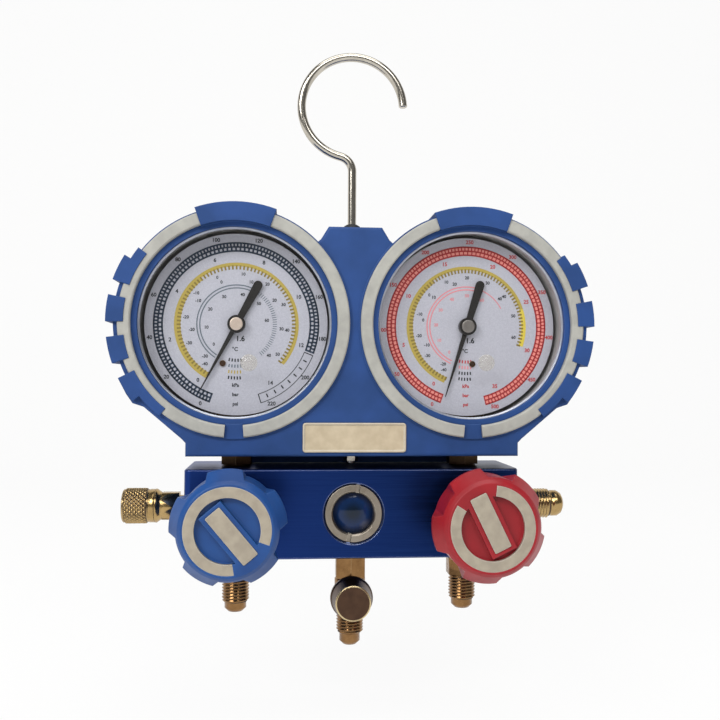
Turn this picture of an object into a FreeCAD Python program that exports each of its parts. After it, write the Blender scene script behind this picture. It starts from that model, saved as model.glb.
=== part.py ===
import FreeCAD, Part
import math
import os
import re

import Sketcher

V = FreeCAD.Vector

# Two-valve refrigerant manifold gauge. Millimetres. +Z is up, the dials face -Y,
# X = 0 is the middle of the block and Y = 0 its mid-depth. Z = 0 is the inside of
# the hook's crown, where the set hangs.
SIZES = {
    # manifold block
    "block_wide": 134, "block_deep": 36.9, "block_high": 35.6, "block_z": -188.7,
    "block_corner": 2.5, "block_edge": 0.5,
    "side_x": 47.45, "gallery_y": 8.56, "gallery_r": 2, "pipe_r": 4.85, "pipe_deep": 8.5,
    "valve_bore_r": 8, "valve_bore_deep": 20.45, "seat_r": 3,
    # sight glass
    "sight_rim_r": 12.2, "sight_r": 11.7, "sight_open_r": 8.3, "glass_r": 9.5,
    "sight_front": 17.9, "sight_step": 17, "glass_front": 13.4, "glass_back": 9.4,
    "seal_back": 8.9, "sight_slot": 1.6, "sight_slot_turn": -10,
    # rubber boot
    "gauge_rise": 75.76, "boot_front": 20.44, "boot_back": 15.56, "boot_low": 23,
    "boot_top": 114.6, "boot_foot_x": 66.4, "ring_r": 45.9, "band_r": 47, "tab_r": 47.4, "glow_out": 45.3,
    "glow_in": 40.4, "glow_front": 22.74, "glow_seat": 19, "window_r": 38.1,
    "lip_back": 18.6, "rim_front": 21.2, "boot_round": 1.2,
    "lug_out": 49.6, "lug_in": 42.9, "lug_half": 6.1, "lug_pitch": 19.2, "lug_first": 25,
    "lug_front": 23.1, "lug_back": 4, "ear_long": 6.4, "ear_r": 46.9, "heel_long": 13.4,
    "heel_r": 46.6, "tab_half": 19.7, "tab_front": 23.3, "tab_low_half": 4.9,
    "slot_half": 7.5, "web_half": 52.5, "web_low": 18.1, "web_front": 8,
    "plate_wide": 41.1, "plate_high": 11.65, "plate_rise": 30.5, "plate_round": 1.2,
    "plate_front": 21.2, "plate_seat": 19.9, "plate_border": 0.7,
    # gauges
    "case_r": 40, "case_wall": 1.2, "case_back": 11.5, "case_front": 15.9, "case_floor": 1.5,
    "bezel_front": 18.6, "bezel_in": 37.3, "lens_r": 38.5, "lens_front": 17.6,
    "dial_r": 37, "dial_face": 8.84, "dial_thick": 0.6,
    "needle_z": 10.04, "needle_thick": 0.5, "needle_tip": 30.6, "needle_tail": 19.9,
    "hub_r": 3.6, "hub_back": 9.4, "hub_front": 12.2, "hub_cap_r": 2.65, "hub_cap_front": 12.9,
    "low_needle_turn": 241.8, "high_needle_turn": 252.7,
    # movement
    "gear_module": 0.3, "gear_gap": 19.53, "gear_turn": -45, "pinion_teeth": 13,
    "sector_teeth": 117, "arbor_r": 0.6, "pivot_play": 0.05,
    "plate_back_z": -0.4, "plate_front_z": 5.6, "plate_thick": 1,
    "gear_back": 2.2, "gear_thick": 1.8, "tail_long": 5.5, "link_long": 10.75,
    "tube_r": 33.5, "tube_thick": 3.4, "tube_deep": 9, "tube_wall": 0.4,
    "tube_start": -18, "tube_sweep": 280,
    "socket_half": 8, "socket_top": 28, "socket_low": 37.5, "neck_r": 5.5, "neck_hole_r": 5.7,
    "stem_hex": 12, "stem_hex_top": 44, "screw_r": 1.3, "screw_high": 0.55,
    # valves and knobs
    "bonnet_hex": 18, "bonnet_front": 24.45, "bonnet_back": 6.45, "bonnet_step": 14.45,
    "bonnet_bore": 5.35, "spindle_r": 3, "running_play": 0.05, "spindle_end": 44,
    "spindle_square": 4.24, "square_back": 33, "collar_r": 4.2, "collar_back": 6.9, "collar_long": 1.5,
    "oring_r": 3.8, "oring_thick": 0.74, "oring_z": 19.5, "groove_half": 0.9, "groove_r": 4.6,
    "disc_r": 5, "disc_back": -1.98, "disc_thick": 3.5, "disc_pin_r": 1.5, "disc_pin": 2.5,
    "knob_face": 56.04, "knob_back": 30.44, "knob_wide_z": 49.2, "knob_face_r": 17,
    "knob_r": 21.2, "knob_skirt_r": 16.4, "knob_notch_r": 18.4, "knob_notch_low": 14,
    "knob_notch_high": 20,
    "knob_wall": 2.6, "knob_cavity": 49, "knob_hub_r": 6.2, "knob_lobes": 5,
    "bowl_r": 11.7, "bowl_deep": 2.4, "bar_half": 4.9, "bar_end": 9.8,
    "c_ring_r": 15.6, "c_ring_deep": 1.5, "c_ring_gap": 30.9,
    "label_long": 21.4, "label_wide": 6.5, "label_shift": 2.3, "label_deep": 0.6, "label_proud": 0.35,
    "low_knob_turn": -50, "high_knob_turn": 116,
    "knob_screw_r": 1.5, "knob_screw_head": 2.9, "knob_screw_seat": 46, "knob_screw_long": 10,
    # flare fittings: 7/16-20 UNF, and 1/2-20 UNF on the parking stud
    "flare_r": 5.556, "nose_r": 4.45, "bore_r": 2.2, "port_hex": 12, "port_hex_long": 10.2,
    "port_thread_start": 10.6, "port_thread_end": 20.4, "port_long": 24.3,
    "stud_r": 6.35, "stud_thread_start": 6, "stud_thread_end": 20.5, "stud_long": 26.5,
    "side_neck_r": 4.4, "side_hex": 11, "side_hex_start": 4.6, "side_hex_end": 11.7,
    "side_flange_end": 14.5, "side_flange_r": 7.1, "side_thread_end": 23.5, "side_long": 25.3,
    "cap_play": 0.064, "side_cap_start": 14.7, "side_cap_knurl": 17.05, "side_cap_end": 27.9,
    "side_cap_r": 7.4, "side_collar_r": 7, "side_cap_floor": 26.35, "gasket_r": 5.4,
    "gasket_thick": 0.9,
    "nipple_long": 11.1, "nipple_screw": 5, "tee_r": 6.4, "tee_end": 25.7, "tee_thread_end": 33.8,
    "tee_long": 38.7, "branch_drop": 17.6, "branch_shoulder": 6.9, "branch_thread_end": 15.6,
    "branch_long": 17.2, "tee_cap_back": 8.9, "tee_cap_rim": 10.4, "tee_cap_front": 19.4,
    "tee_cap_r": 8.7, "tee_cap_face_r": 6.94, "tee_cap_floor": 18.25,
    # hook
    "wire_r": 1.8, "hook_r": 21.6, "hook_centre": -19.8, "hook_neck_r": 6.5, "hook_foot": 18.5,
    "hook_tip": 0.8, "bush_r": 4.5, "bush_high": 4.3, "bush_sleeve_r": 3.2, "bush_sleeve": 10,
    "shank_hole_r": 2.1, "nut_flats": 5.5, "nut_low": 19.5, "nut_high": 2.9,
}

doc = FreeCAD.newDocument("ManifoldGauge")
sheet = doc.addObject("Spreadsheet::Sheet", "Sizes")
for row, (alias, number) in enumerate(SIZES.items(), 1):
    sheet.set("A%d" % row, str(number))
    sheet.setAlias("A%d" % row, alias)
doc.recompute()

PARTS = []

# Each turn carries a piece's own +Z to the way it faces.
FRONT = FreeCAD.Rotation(V(1, 0, 0), 90)
DOWN = FreeCAD.Rotation(V(1, 0, 0), 180)
LEFT = FreeCAD.Rotation(V(0, 1, 0), -90)
RIGHT = FreeCAD.Rotation(V(0, 1, 0), 90)
UP = FreeCAD.Rotation()


def spell(text):
    """Put the sheet's name before each of its aliases in a formula."""
    def name(word):
        return "Sizes." + word.group() if word.group() in SIZES else word.group()
    return re.sub(r"[a-z_]+", name, str(text))


def val(text):
    return float(sheet.evalExpression(spell(text)))


def bind(thing, prop, text):
    thing.setExpression(prop, spell(text))


def place(thing, where, turn):
    thing.Placement = FreeCAD.Placement(V(0, 0, 0), turn)
    for axis, text in zip("xyz", where):
        bind(thing, "Placement.Base." + axis, text)


def keep(thing, label, where=None, turn=UP):
    """Name a finished piece, seat it and list it for export."""
    thing.Label = label
    if where:
        place(thing, where, turn)
    PARTS.append(thing)
    return thing


def new_body(label, where, turn=UP):
    return keep(doc.addObject("PartDesign::Body", label), label, where, turn)


def sketch(body, plane="XY_Plane", lift=None, at=None, spin=None):
    """Empty sketch on one of the body's own planes, lifted along its normal."""
    made = body.newObject("Sketcher::SketchObject", "Sketch")
    origin = [f for f in body.Origin.OriginFeatures if f.Role == plane][0]
    made.AttachmentSupport = [(origin, "")]
    made.MapMode = "FlatFace"
    if lift is not None:
        bind(made, "AttachmentOffset.Base.z", lift)
    if at is not None:
        bind(made, "AttachmentOffset.Base.x", at[0])
        bind(made, "AttachmentOffset.Base.y", at[1])
    if spin is not None:
        bind(made, "AttachmentOffset.Rotation.Angle", spin)
    return made


def pin(made, geometry, end, x, y):
    """Hold a point of the sketch at (x, y), each a formula of the sheet."""
    for kind, text, axis in (("DistanceX", x, -2), ("DistanceY", y, -1)):
        size = val(text)
        if abs(size) < 1e-9:
            made.addConstraint(Sketcher.Constraint("PointOnObject", geometry, end, axis))
        else:
            n = made.addConstraint(Sketcher.Constraint(kind, -1, 1, geometry, end, size))
            bind(made, "Constraints[%d]" % n, text)


def arc_centre(a, b, radius):
    """Centre of the short arc from a to b; radius > 0 turns left."""
    half = (b - a) * 0.5
    rise = math.sqrt(max(radius * radius - half.Length ** 2, 0))
    side = V(-half.y, half.x, 0).normalize()
    return a + half + side * (rise if radius > 0 else -rise)


def outline(made, corners, closed=True):
    """Lines and arcs from corner to corner. A corner (x, y, r) starts an arc of
    radius r to the next one: it turns left when r > 0 and right when r < 0."""
    spots = [V(val(c[0]), val(c[1]), 0) for c in corners]
    count = len(corners) if closed else len(corners) - 1
    ends = []
    for i in range(count):
        a, b = spots[i], spots[(i + 1) % len(spots)]
        if len(corners[i]) == 2:
            n = made.addGeometry(Part.LineSegment(a, b), False)
            ends.append((n, 1, 2))
            continue
        radius = val(corners[i][2])
        centre = arc_centre(a, b, radius)
        start, stop = (a, b) if radius > 0 else (b, a)
        first = math.atan2(start.y - centre.y, start.x - centre.x)
        last = math.atan2(stop.y - centre.y, stop.x - centre.x)
        ring = Part.Circle(centre, V(0, 0, 1), abs(radius))
        n = made.addGeometry(Part.ArcOfCircle(ring, first, last), False)
        ends.append((n, 1, 2) if radius > 0 else (n, 2, 1))
    for i in range(count):
        if i + 1 < count or closed:
            here, after = ends[i], ends[(i + 1) % count]
            made.addConstraint(Sketcher.Constraint("Coincident", here[0], here[2],
                                                   after[0], after[1]))
    for i, corner in enumerate(corners):
        if i < count:
            pin(made, ends[i][0], ends[i][1], corner[0], corner[1])
            if len(corner) == 3:
                n = made.addConstraint(Sketcher.Constraint("Radius", ends[i][0],
                                                           abs(val(corner[2]))))
                bind(made, "Constraints[%d]" % n, "abs(%s)" % corner[2])
        else:
            pin(made, ends[-1][0], ends[-1][2], corner[0], corner[1])
    return made


def circle(made, x, y, r):
    n = made.addGeometry(Part.Circle(V(val(x), val(y), 0), V(0, 0, 1), val(r)), False)
    pin(made, n, 3, x, y)
    k = made.addConstraint(Sketcher.Constraint("Radius", n, val(r)))
    bind(made, "Constraints[%d]" % k, r)
    return made


def box(made, left, low, right, high):
    return outline(made, [(left, low), (right, low), (right, high), (left, high)])


def hexagon(made, flats, corner_up=False):
    """Hexagon about the sketch's origin, given its width across flats."""
    first = 30 if corner_up else 0
    return outline(made, [("%s/2/cos(30)*cos(%d)" % (flats, first + 60 * k),
                           "%s/2/cos(30)*sin(%d)" % (flats, first + 60 * k))
                          for k in range(6)])


def feature(body, kind, made, length, back=False, both=False, through=False):
    """Pad or Pocket of a sketch. A pad follows the sketch's normal and a pocket
    goes against it; back=True turns either round."""
    step = body.newObject("PartDesign::" + kind, kind)
    step.Profile = made
    step.Reversed = back
    if both:
        step.Midplane = True
    if through:
        step.Type = "ThroughAll"
    else:
        bind(step, "Length", length)
    body.Tip = step
    return step


def pad(body, made, length, **ways):
    return feature(body, "Pad", made, length, **ways)


def pocket(body, made, length=None, **ways):
    return feature(body, "Pocket", made, length, through=length is None, **ways)


def revolve(body, made, kind="Revolution", angle=360):
    step = body.newObject("PartDesign::" + kind, kind)
    step.Profile = made
    step.ReferenceAxis = (made, ["V_Axis"])
    bind(step, "Angle", angle)
    body.Tip = step
    return step


def turned(label, where, turn, corners):
    """Piece of revolution about its own Z: corners are (radius, height)."""
    body = new_body(label, where, turn)
    revolve(body, outline(sketch(body, "XZ_Plane"), corners))
    return body


def polar(body, step, axis, count, span):
    ring = body.newObject("PartDesign::PolarPattern", "Polar")
    ring.Originals = [step]
    ring.Axis = axis
    ring.Occurrences = count
    ring.Angle = span
    body.Tip = ring
    return ring


def edges(body, test):
    """Names of the tip's edges that pass a test on their ends and middle."""
    doc.recompute()
    names = []
    for n, edge in enumerate(body.Tip.Shape.Edges, 1):
        spots = [v.Point for v in edge.Vertexes]
        spots.append(edge.valueAt((edge.FirstParameter + edge.LastParameter) / 2))
        if all(test(p) for p in spots):
            names.append("Edge%d" % n)
    return names


def dress(body, kind, size_name, size, test):
    """Fillet or chamfer the edges that pass the test."""
    names = edges(body, test)
    base = body.Tip
    step = body.newObject("PartDesign::" + kind, kind)
    step.Base = (base, names)
    bind(step, size_name, size)
    body.Tip = step
    return step


def around(radius, angle):
    """Corner at a radius and an angle round the sketch's origin."""
    return "(%s)*cos(%s)" % (radius, angle), "(%s)*sin(%s)" % (radius, angle)


def sector_outline(made, inner, outer, first, last):
    """Slice of a ring between two radii and two angles, under 180 degrees."""
    return outline(made, [
        around(outer, first) + (outer,), around(outer, last),
        around(inner, last) + ("-(%s)" % inner,), around(inner, first)])


# ---------------------------------------------------------------- block

def make_block():
    body = new_body("manifold_block", (0, 0, "block_z"), FRONT)
    w, d, r = "block_wide/2", "block_deep/2", "block_corner"
    plan = outline(sketch(body, "XZ_Plane"), [
        ("-(%s)+%s" % (w, r), "-(%s)" % d), ("%s-%s" % (w, r), "-(%s)" % d, r),
        (w, "-(%s)+%s" % (d, r)), (w, "%s-%s" % (d, r), r),
        ("%s-%s" % (w, r), d), ("-(%s)+%s" % (w, r), d, r),
        ("-(%s)" % w, "%s-%s" % (d, r)), ("-(%s)" % w, "-(%s)+%s" % (d, r), r)])
    pad(body, plan, "block_high", both=True)
    half = val("block_high/2")
    dress(body, "Chamfer", "Size", "block_edge", lambda p: abs(abs(p.y) - half) < 1e-6)
    sides = ("-side_x", "side_x")

    # From the front: valve chambers, their seats, and the sight glass steps.
    bores = sketch(body, lift="block_deep/2")
    seats = sketch(body, lift="block_deep/2-valve_bore_deep")
    for x in sides:
        circle(bores, x, 0, "valve_bore_r")
        circle(seats, x, 0, "seat_r")
    pocket(body, bores, "valve_bore_deep")
    pocket(body, seats, "gallery_y+block_deep/2-valve_bore_deep")
    steps = (("block_deep/2", "sight_rim_r", "sight_step"), ("sight_step", "sight_r", "glass_front"),
             ("glass_front", "glass_r", "seal_back"), ("seal_back", "glass_r-2", "seat_r"),
             ("seat_r", "seat_r", "-gallery_y"))
    for front, r, back in steps:
        pocket(body, circle(sketch(body, lift=front), 0, 0, r), "(%s)-(%s)" % (front, back))

    # Gauges screw in from above, the three ports from below.
    for spots, lift, back in ((sides, "-block_high/2", True),
                              (("-side_x", 0, "side_x"), "block_high/2", False)):
        pipes = sketch(body, "XZ_Plane", lift=lift)
        ways = sketch(body, "XZ_Plane", lift=lift)
        for x in spots:
            circle(pipes, x, 0, "pipe_r")
            circle(ways, x, 0, "gallery_r")
        pocket(body, pipes, "pipe_deep", back=back)
        pocket(body, ways, "block_high/2", back=back)

    # The rear gallery runs end to end and carries the two side fittings.
    pocket(body, circle(sketch(body, "YZ_Plane"), 0, "-gallery_y", "gallery_r"),
           "block_wide", both=True)
    for lift, back in (("block_wide/2", False), ("-block_wide/2", True)):
        end = circle(sketch(body, "YZ_Plane", lift=lift), 0, "-gallery_y", "pipe_r")
        pocket(body, end, "pipe_deep", back=back)


def make_sight_glass():
    where = (0, 0, "block_z")
    ring = turned("sight_ring", where, FRONT, [
        ("sight_open_r", "glass_front"), ("sight_r", "glass_front"),
        ("sight_r", "sight_front-0.4"), ("sight_r-0.4", "sight_front"),
        ("sight_open_r+0.6", "sight_front"), ("sight_open_r", "sight_front-0.6")])
    slot = sketch(ring, lift="sight_front", spin="sight_slot_turn")
    pocket(ring, box(slot, "-sight_slot/2", "-sight_r-1", "sight_slot/2", "sight_r+1"), 1.5)
    glass = doc.addObject("Part::Cylinder", "GlassDisc")
    bind(glass, "Radius", "glass_r")
    bind(glass, "Height", "glass_front-glass_back")
    keep(glass, "sight_glass", (0, "-glass_back", "block_z"), FRONT)
    turned("sight_seal", where, FRONT, [
        ("glass_r-1.5", "seal_back"), ("glass_r-0.1", "seal_back"),
        ("glass_r-0.1", "glass_back"), ("glass_r-1.5", "glass_back")])


# ---------------------------------------------------------------- boot

def mirrored(sign, first, last):
    """Angles about the right gauge, or the same ones mirrored to the left."""
    return (first, last) if sign > 0 else ("180-(%s)" % last, "180-(%s)" % first)


def lug_ends(sign):
    """Ear above the first lug and heel below the last: radius and angles."""
    top, bottom = "lug_first+lug_half", "lug_first-3*lug_pitch-lug_half"
    return (("ear_r",) + mirrored(sign, top, top + "+ear_long"),
            ("heel_r",) + mirrored(sign, bottom + "-heel_long", bottom))


def boot_outline(made):
    """The slab with its sloped shoulders; the gauges' rings are added to it."""
    right = [("boot_foot_x", "boot_low"), ("boot_foot_x", "boot_low+5.3"),
             ("boot_foot_x+1.5", "boot_low+6.9"), ("boot_foot_x+16.2", "boot_low+19.4"),
             ("boot_foot_x+20.5", "boot_low+20.8"), ("boot_foot_x+23", "boot_low+24.4"),
             ("boot_foot_x+26.2", "boot_low+30.5"), ("side_x+39.4", "gauge_rise-19.6"),
             ("side_x", "gauge_rise+5"), (13.8, "boot_top-5.1"), (10.7, "boot_top")]
    left = [("-(%s)" % x, y) for x, y in reversed(right)]
    return outline(made, right + left)


def make_boot():
    body = new_body("gauge_boot", (0, 0, "block_z"), FRONT)
    deep = "boot_front+boot_back"
    pad(body, boot_outline(sketch(body, lift="-boot_back")), deep)
    rings = sketch(body, lift="-boot_back")
    for x in ("-side_x", "side_x"):
        circle(rings, x, "gauge_rise", "ring_r")
    pad(body, rings, deep)
    front = val("boot_front")
    dress(body, "Fillet", "Radius", "boot_round", lambda p: abs(p.z - front) < 1e-6)

    for sign, x in ((-1, "-side_x"), (1, "side_x")):
        at = (x, "gauge_rise")
        groove = sketch(body, lift="boot_front", at=at)
        circle(circle(groove, 0, 0, "glow_out"), 0, 0, "glow_in")
        pocket(body, groove, "boot_front-glow_seat")
        rim = sketch(body, lift="boot_front-boot_round", at=at)
        circle(circle(rim, 0, 0, "ring_r"), 0, 0, "glow_out")
        pad(body, rim, "rim_front-boot_front+boot_round")
        tab = sector_outline(sketch(body, lift="boot_front", at=at), "glow_in-0.4", "tab_r",
                             "90-tab_half", "90+tab_half")
        pad(body, tab, "tab_front-boot_front")
        tab = sector_outline(sketch(body, lift="-boot_back", at=at), "glow_out", "tab_r",
                             "90-tab_half", "90+tab_half")
        pad(body, tab, "boot_back+tab_front")
        first, last = mirrored(sign, "lug_first-3*lug_pitch", "lug_first+lug_half+ear_long")
        band = sector_outline(sketch(body, lift="-boot_back", at=at), "glow_out", "band_r",
                              first, last)
        pad(body, band, "boot_back+rim_front")
        tab = sector_outline(sketch(body, lift="boot_front", at=at), "glow_in-0.4", "ring_r",
                             "270-tab_low_half", "270+tab_low_half")
        pad(body, tab, "rim_front-boot_front")
        for r, first, last in lug_ends(sign):
            end = sector_outline(sketch(body, lift="boot_front", at=at), "lug_in", r, first, last)
            pad(body, end, "lug_front-boot_front")
        middle = "lug_first" if sign > 0 else "180-lug_first"
        lug = sector_outline(sketch(body, lift="boot_front", at=at), "lug_in", "lug_out",
                             middle + "-lug_half", middle + "+lug_half")
        top = pad(body, lug, "lug_front-boot_front")
        side = sector_outline(sketch(body, lift="-lug_back", at=at), "glow_out", "lug_out",
                              middle + "-lug_half", middle + "+lug_half")
        flank = pad(body, side, "boot_front+lug_back")
        for made, step in ((lug, top), (side, flank)):
            ring = polar(body, step, (made, ["N_Axis"]), 4, val("3*lug_pitch"))
            ring.Reversed = sign > 0

    # Gauge cases go in from the back, up to the lip round each window.
    bores = sketch(body, lift="-boot_back")
    windows = sketch(body, lift="boot_front")
    slots = sketch(body, lift="slot_half")
    for x in ("-side_x", "side_x"):
        circle(bores, x, "gauge_rise", "case_r")
        circle(windows, x, "gauge_rise", "window_r")
        box(slots, x + "-slot_half", "boot_low-1", x + "+slot_half", "gauge_rise-35")
    pocket(body, bores, "boot_back+lip_back", back=True)
    pocket(body, windows)
    pocket(body, slots)

    # Cored out behind, either side of the hook's shank.
    cores = sketch(body, lift="boot_front-3")
    for s in ("", "-"):
        outline(cores, [(s + "5", "boot_low+3.5"), (s + "28", "boot_low+3.5"),
                        (s + "26", "boot_low+11.5"), (s + "12.5", "boot_low+26.5"),
                        (s + "5", "boot_low+36")])
    pocket(body, cores)
    web = box(sketch(body, lift="-boot_back"), "-web_half", "web_low", "web_half", "boot_low+1")
    pad(body, web, "boot_back-web_front")
    shank = circle(sketch(body, "XZ_Plane", lift="-boot_top"), 0, 0, "shank_hole_r")
    pocket(body, shank, back=True)
    bush = circle(sketch(body, "XZ_Plane", lift="-boot_top"), 0, 0, "bush_sleeve_r")
    pocket(body, bush, "bush_sleeve", back=True)
    rounded_plate(body, sketch(body, lift="boot_front"), "Pocket", "boot_front-plate_seat")


def rounded_box(made, wide, high, r, x="0", y="0"):
    w, h = "(%s)/2" % wide, "(%s)/2" % high
    return outline(made, [
        ("%s-%s+%s" % (x, w, r), "%s-%s" % (y, h)), ("%s+%s-(%s)" % (x, w, r), "%s-%s" % (y, h), r),
        ("%s+%s" % (x, w), "%s-%s+%s" % (y, h, r)), ("%s+%s" % (x, w), "%s+%s-(%s)" % (y, h, r), r),
        ("%s+%s-(%s)" % (x, w, r), "%s+%s" % (y, h)), ("%s-%s+%s" % (x, w, r), "%s+%s" % (y, h), r),
        ("%s-%s" % (x, w), "%s+%s-(%s)" % (y, h, r)), ("%s-%s" % (x, w), "%s-%s+%s" % (y, h, r), r)])


def rounded_plate(body, made, kind, length):
    rounded_box(made, "plate_wide", "plate_high", "plate_round", y="plate_rise")
    return feature(body, kind, made, length)


def make_nameplate():
    body = new_body("nameplate", (0, 0, "block_z"), FRONT)
    rounded_plate(body, sketch(body, lift="plate_seat"), "Pad", "plate_front-plate_seat")
    field = rounded_box(sketch(body, lift="plate_front"), "plate_wide-2*plate_border",
                        "plate_high-2*plate_border", "plate_round/2", y="plate_rise")
    pocket(body, field, 0.4)


def make_glow_ring(side, x, sign):
    body = new_body(side + "_glow_ring", (x, 0, "block_z+gauge_rise"), FRONT)
    ring = sketch(body, lift="glow_seat")
    circle(circle(ring, 0, 0, "glow_out"), 0, 0, "glow_in")
    pad(body, ring, "glow_front-glow_seat")
    front = val("glow_front")
    dress(body, "Chamfer", "Size", 0.5, lambda p: abs(p.z - front) < 1e-6)
    gaps = [("glow_in-1", "90-tab_half", "90+tab_half"),
            ("glow_in-1", "270-tab_low_half", "270+tab_low_half")]
    gaps += [("lug_in",) + ends[1:] for ends in lug_ends(sign)]
    for inner, first, last in gaps:
        gap = sector_outline(sketch(body, lift="glow_front"), inner, "glow_out+1", first, last)
        pocket(body, gap, "glow_front-boot_front")
    middle = "lug_first" if sign > 0 else "180-lug_first"
    lug = sector_outline(sketch(body, lift="glow_front"), "lug_in", "lug_out",
                         middle + "-lug_half", middle + "+lug_half")
    step = pocket(body, lug, "glow_front-boot_front")
    polar(body, step, (lug, ["N_Axis"]), 4, val("3*lug_pitch")).Reversed = sign > 0


# ---------------------------------------------------------------- gauges

def make_case(side, where):
    case = turned(side + "_gauge_case", where, FRONT, [
        (0, "-case_back"), ("case_r-2", "-case_back"), ("case_r", "-case_back+2"),
        ("case_r", "case_front"), ("case_r-2.2", "case_front"), ("case_r-2.2", "case_front-1"),
        ("case_r-case_wall", "case_front-1"), ("case_r-case_wall", "-case_back+case_floor"),
        (0, "-case_back+case_floor")])
    pocket(case, circle(sketch(case, "XZ_Plane"), 0, 0, "neck_hole_r"), "case_r+1", back=True)
    turned(side + "_bezel", where, FRONT, [
        ("lens_r+0.05", "case_front"), ("case_r", "case_front"), ("case_r", "bezel_front-0.8"),
        ("case_r-0.8", "bezel_front"), ("bezel_in+0.5", "bezel_front"),
        ("bezel_in", "bezel_front-0.5"), ("bezel_in", "lens_front"), ("lens_r+0.05", "lens_front")])
    lens = doc.addObject("Part::Cylinder", side + "LensDisc")
    bind(lens, "Radius", "lens_r")
    bind(lens, "Height", "lens_front-case_front")
    keep(lens, side + "_lens", (where[0], "-case_front", where[2]), FRONT)
    turned(side + "_dial", where, FRONT, [
        ("arbor_r+0.9", "dial_face-dial_thick"), ("dial_r", "dial_face-dial_thick"),
        ("dial_r", "dial_face"), ("arbor_r+0.9", "dial_face")])


def make_needle(side, where):
    turn = FRONT.multiply(FreeCAD.Rotation(V(0, 0, 1), val(side + "_needle_turn")))
    body = new_body(side + "_needle", where, turn)
    blade = outline(sketch(body, lift="needle_z"), [
        ("needle_tip", 0.15), (2.5, 1.0), (-2.5, 1.3), ("-needle_tail+1.85", 1.85, 1.85),
        ("-needle_tail", 0, 1.85), ("-needle_tail+1.85", -1.85), (-2.5, -1.3), (2.5, -1.0),
        ("needle_tip", -0.15)])
    pad(body, blade, "needle_thick")
    pad(body, circle(sketch(body, lift="hub_back"), 0, 0, "hub_r"), "hub_front-hub_back")
    pocket(body, circle(sketch(body, lift="hub_front"), 0, 0, "arbor_r"))


def tooth_gap(made, teeth, inward):
    """Space between two involute teeth about the sketch's X axis, in modules:
    20 degree flanks, short teeth and a little backlash."""
    pitch_r = teeth / 2.0
    base_r = pitch_r * math.cos(math.radians(20))
    thick = 1.37 / teeth
    level = math.tan(math.radians(20)) - math.radians(20)

    def half_gap(r):
        roll = math.acos(min(base_r / r, 1))
        return math.pi / teeth - (thick + level - (math.tan(roll) - roll))

    radii = [pitch_r - 1.2, max(base_r, pitch_r - 0.6), pitch_r, pitch_r + 0.8]
    side = [(r * math.cos(half_gap(r)), r * math.sin(half_gap(r))) for r in radii]
    side.append((side[-1][0] + 0.9, side[-1][1] + 0.55))
    scaled = [("gear_module*%.5f" % x, "gear_module*%.5f" % y) for x, y in side]
    return outline(made, [(x, "-(%s)" % y) for x, y in scaled] + scaled[::-1])


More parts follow.
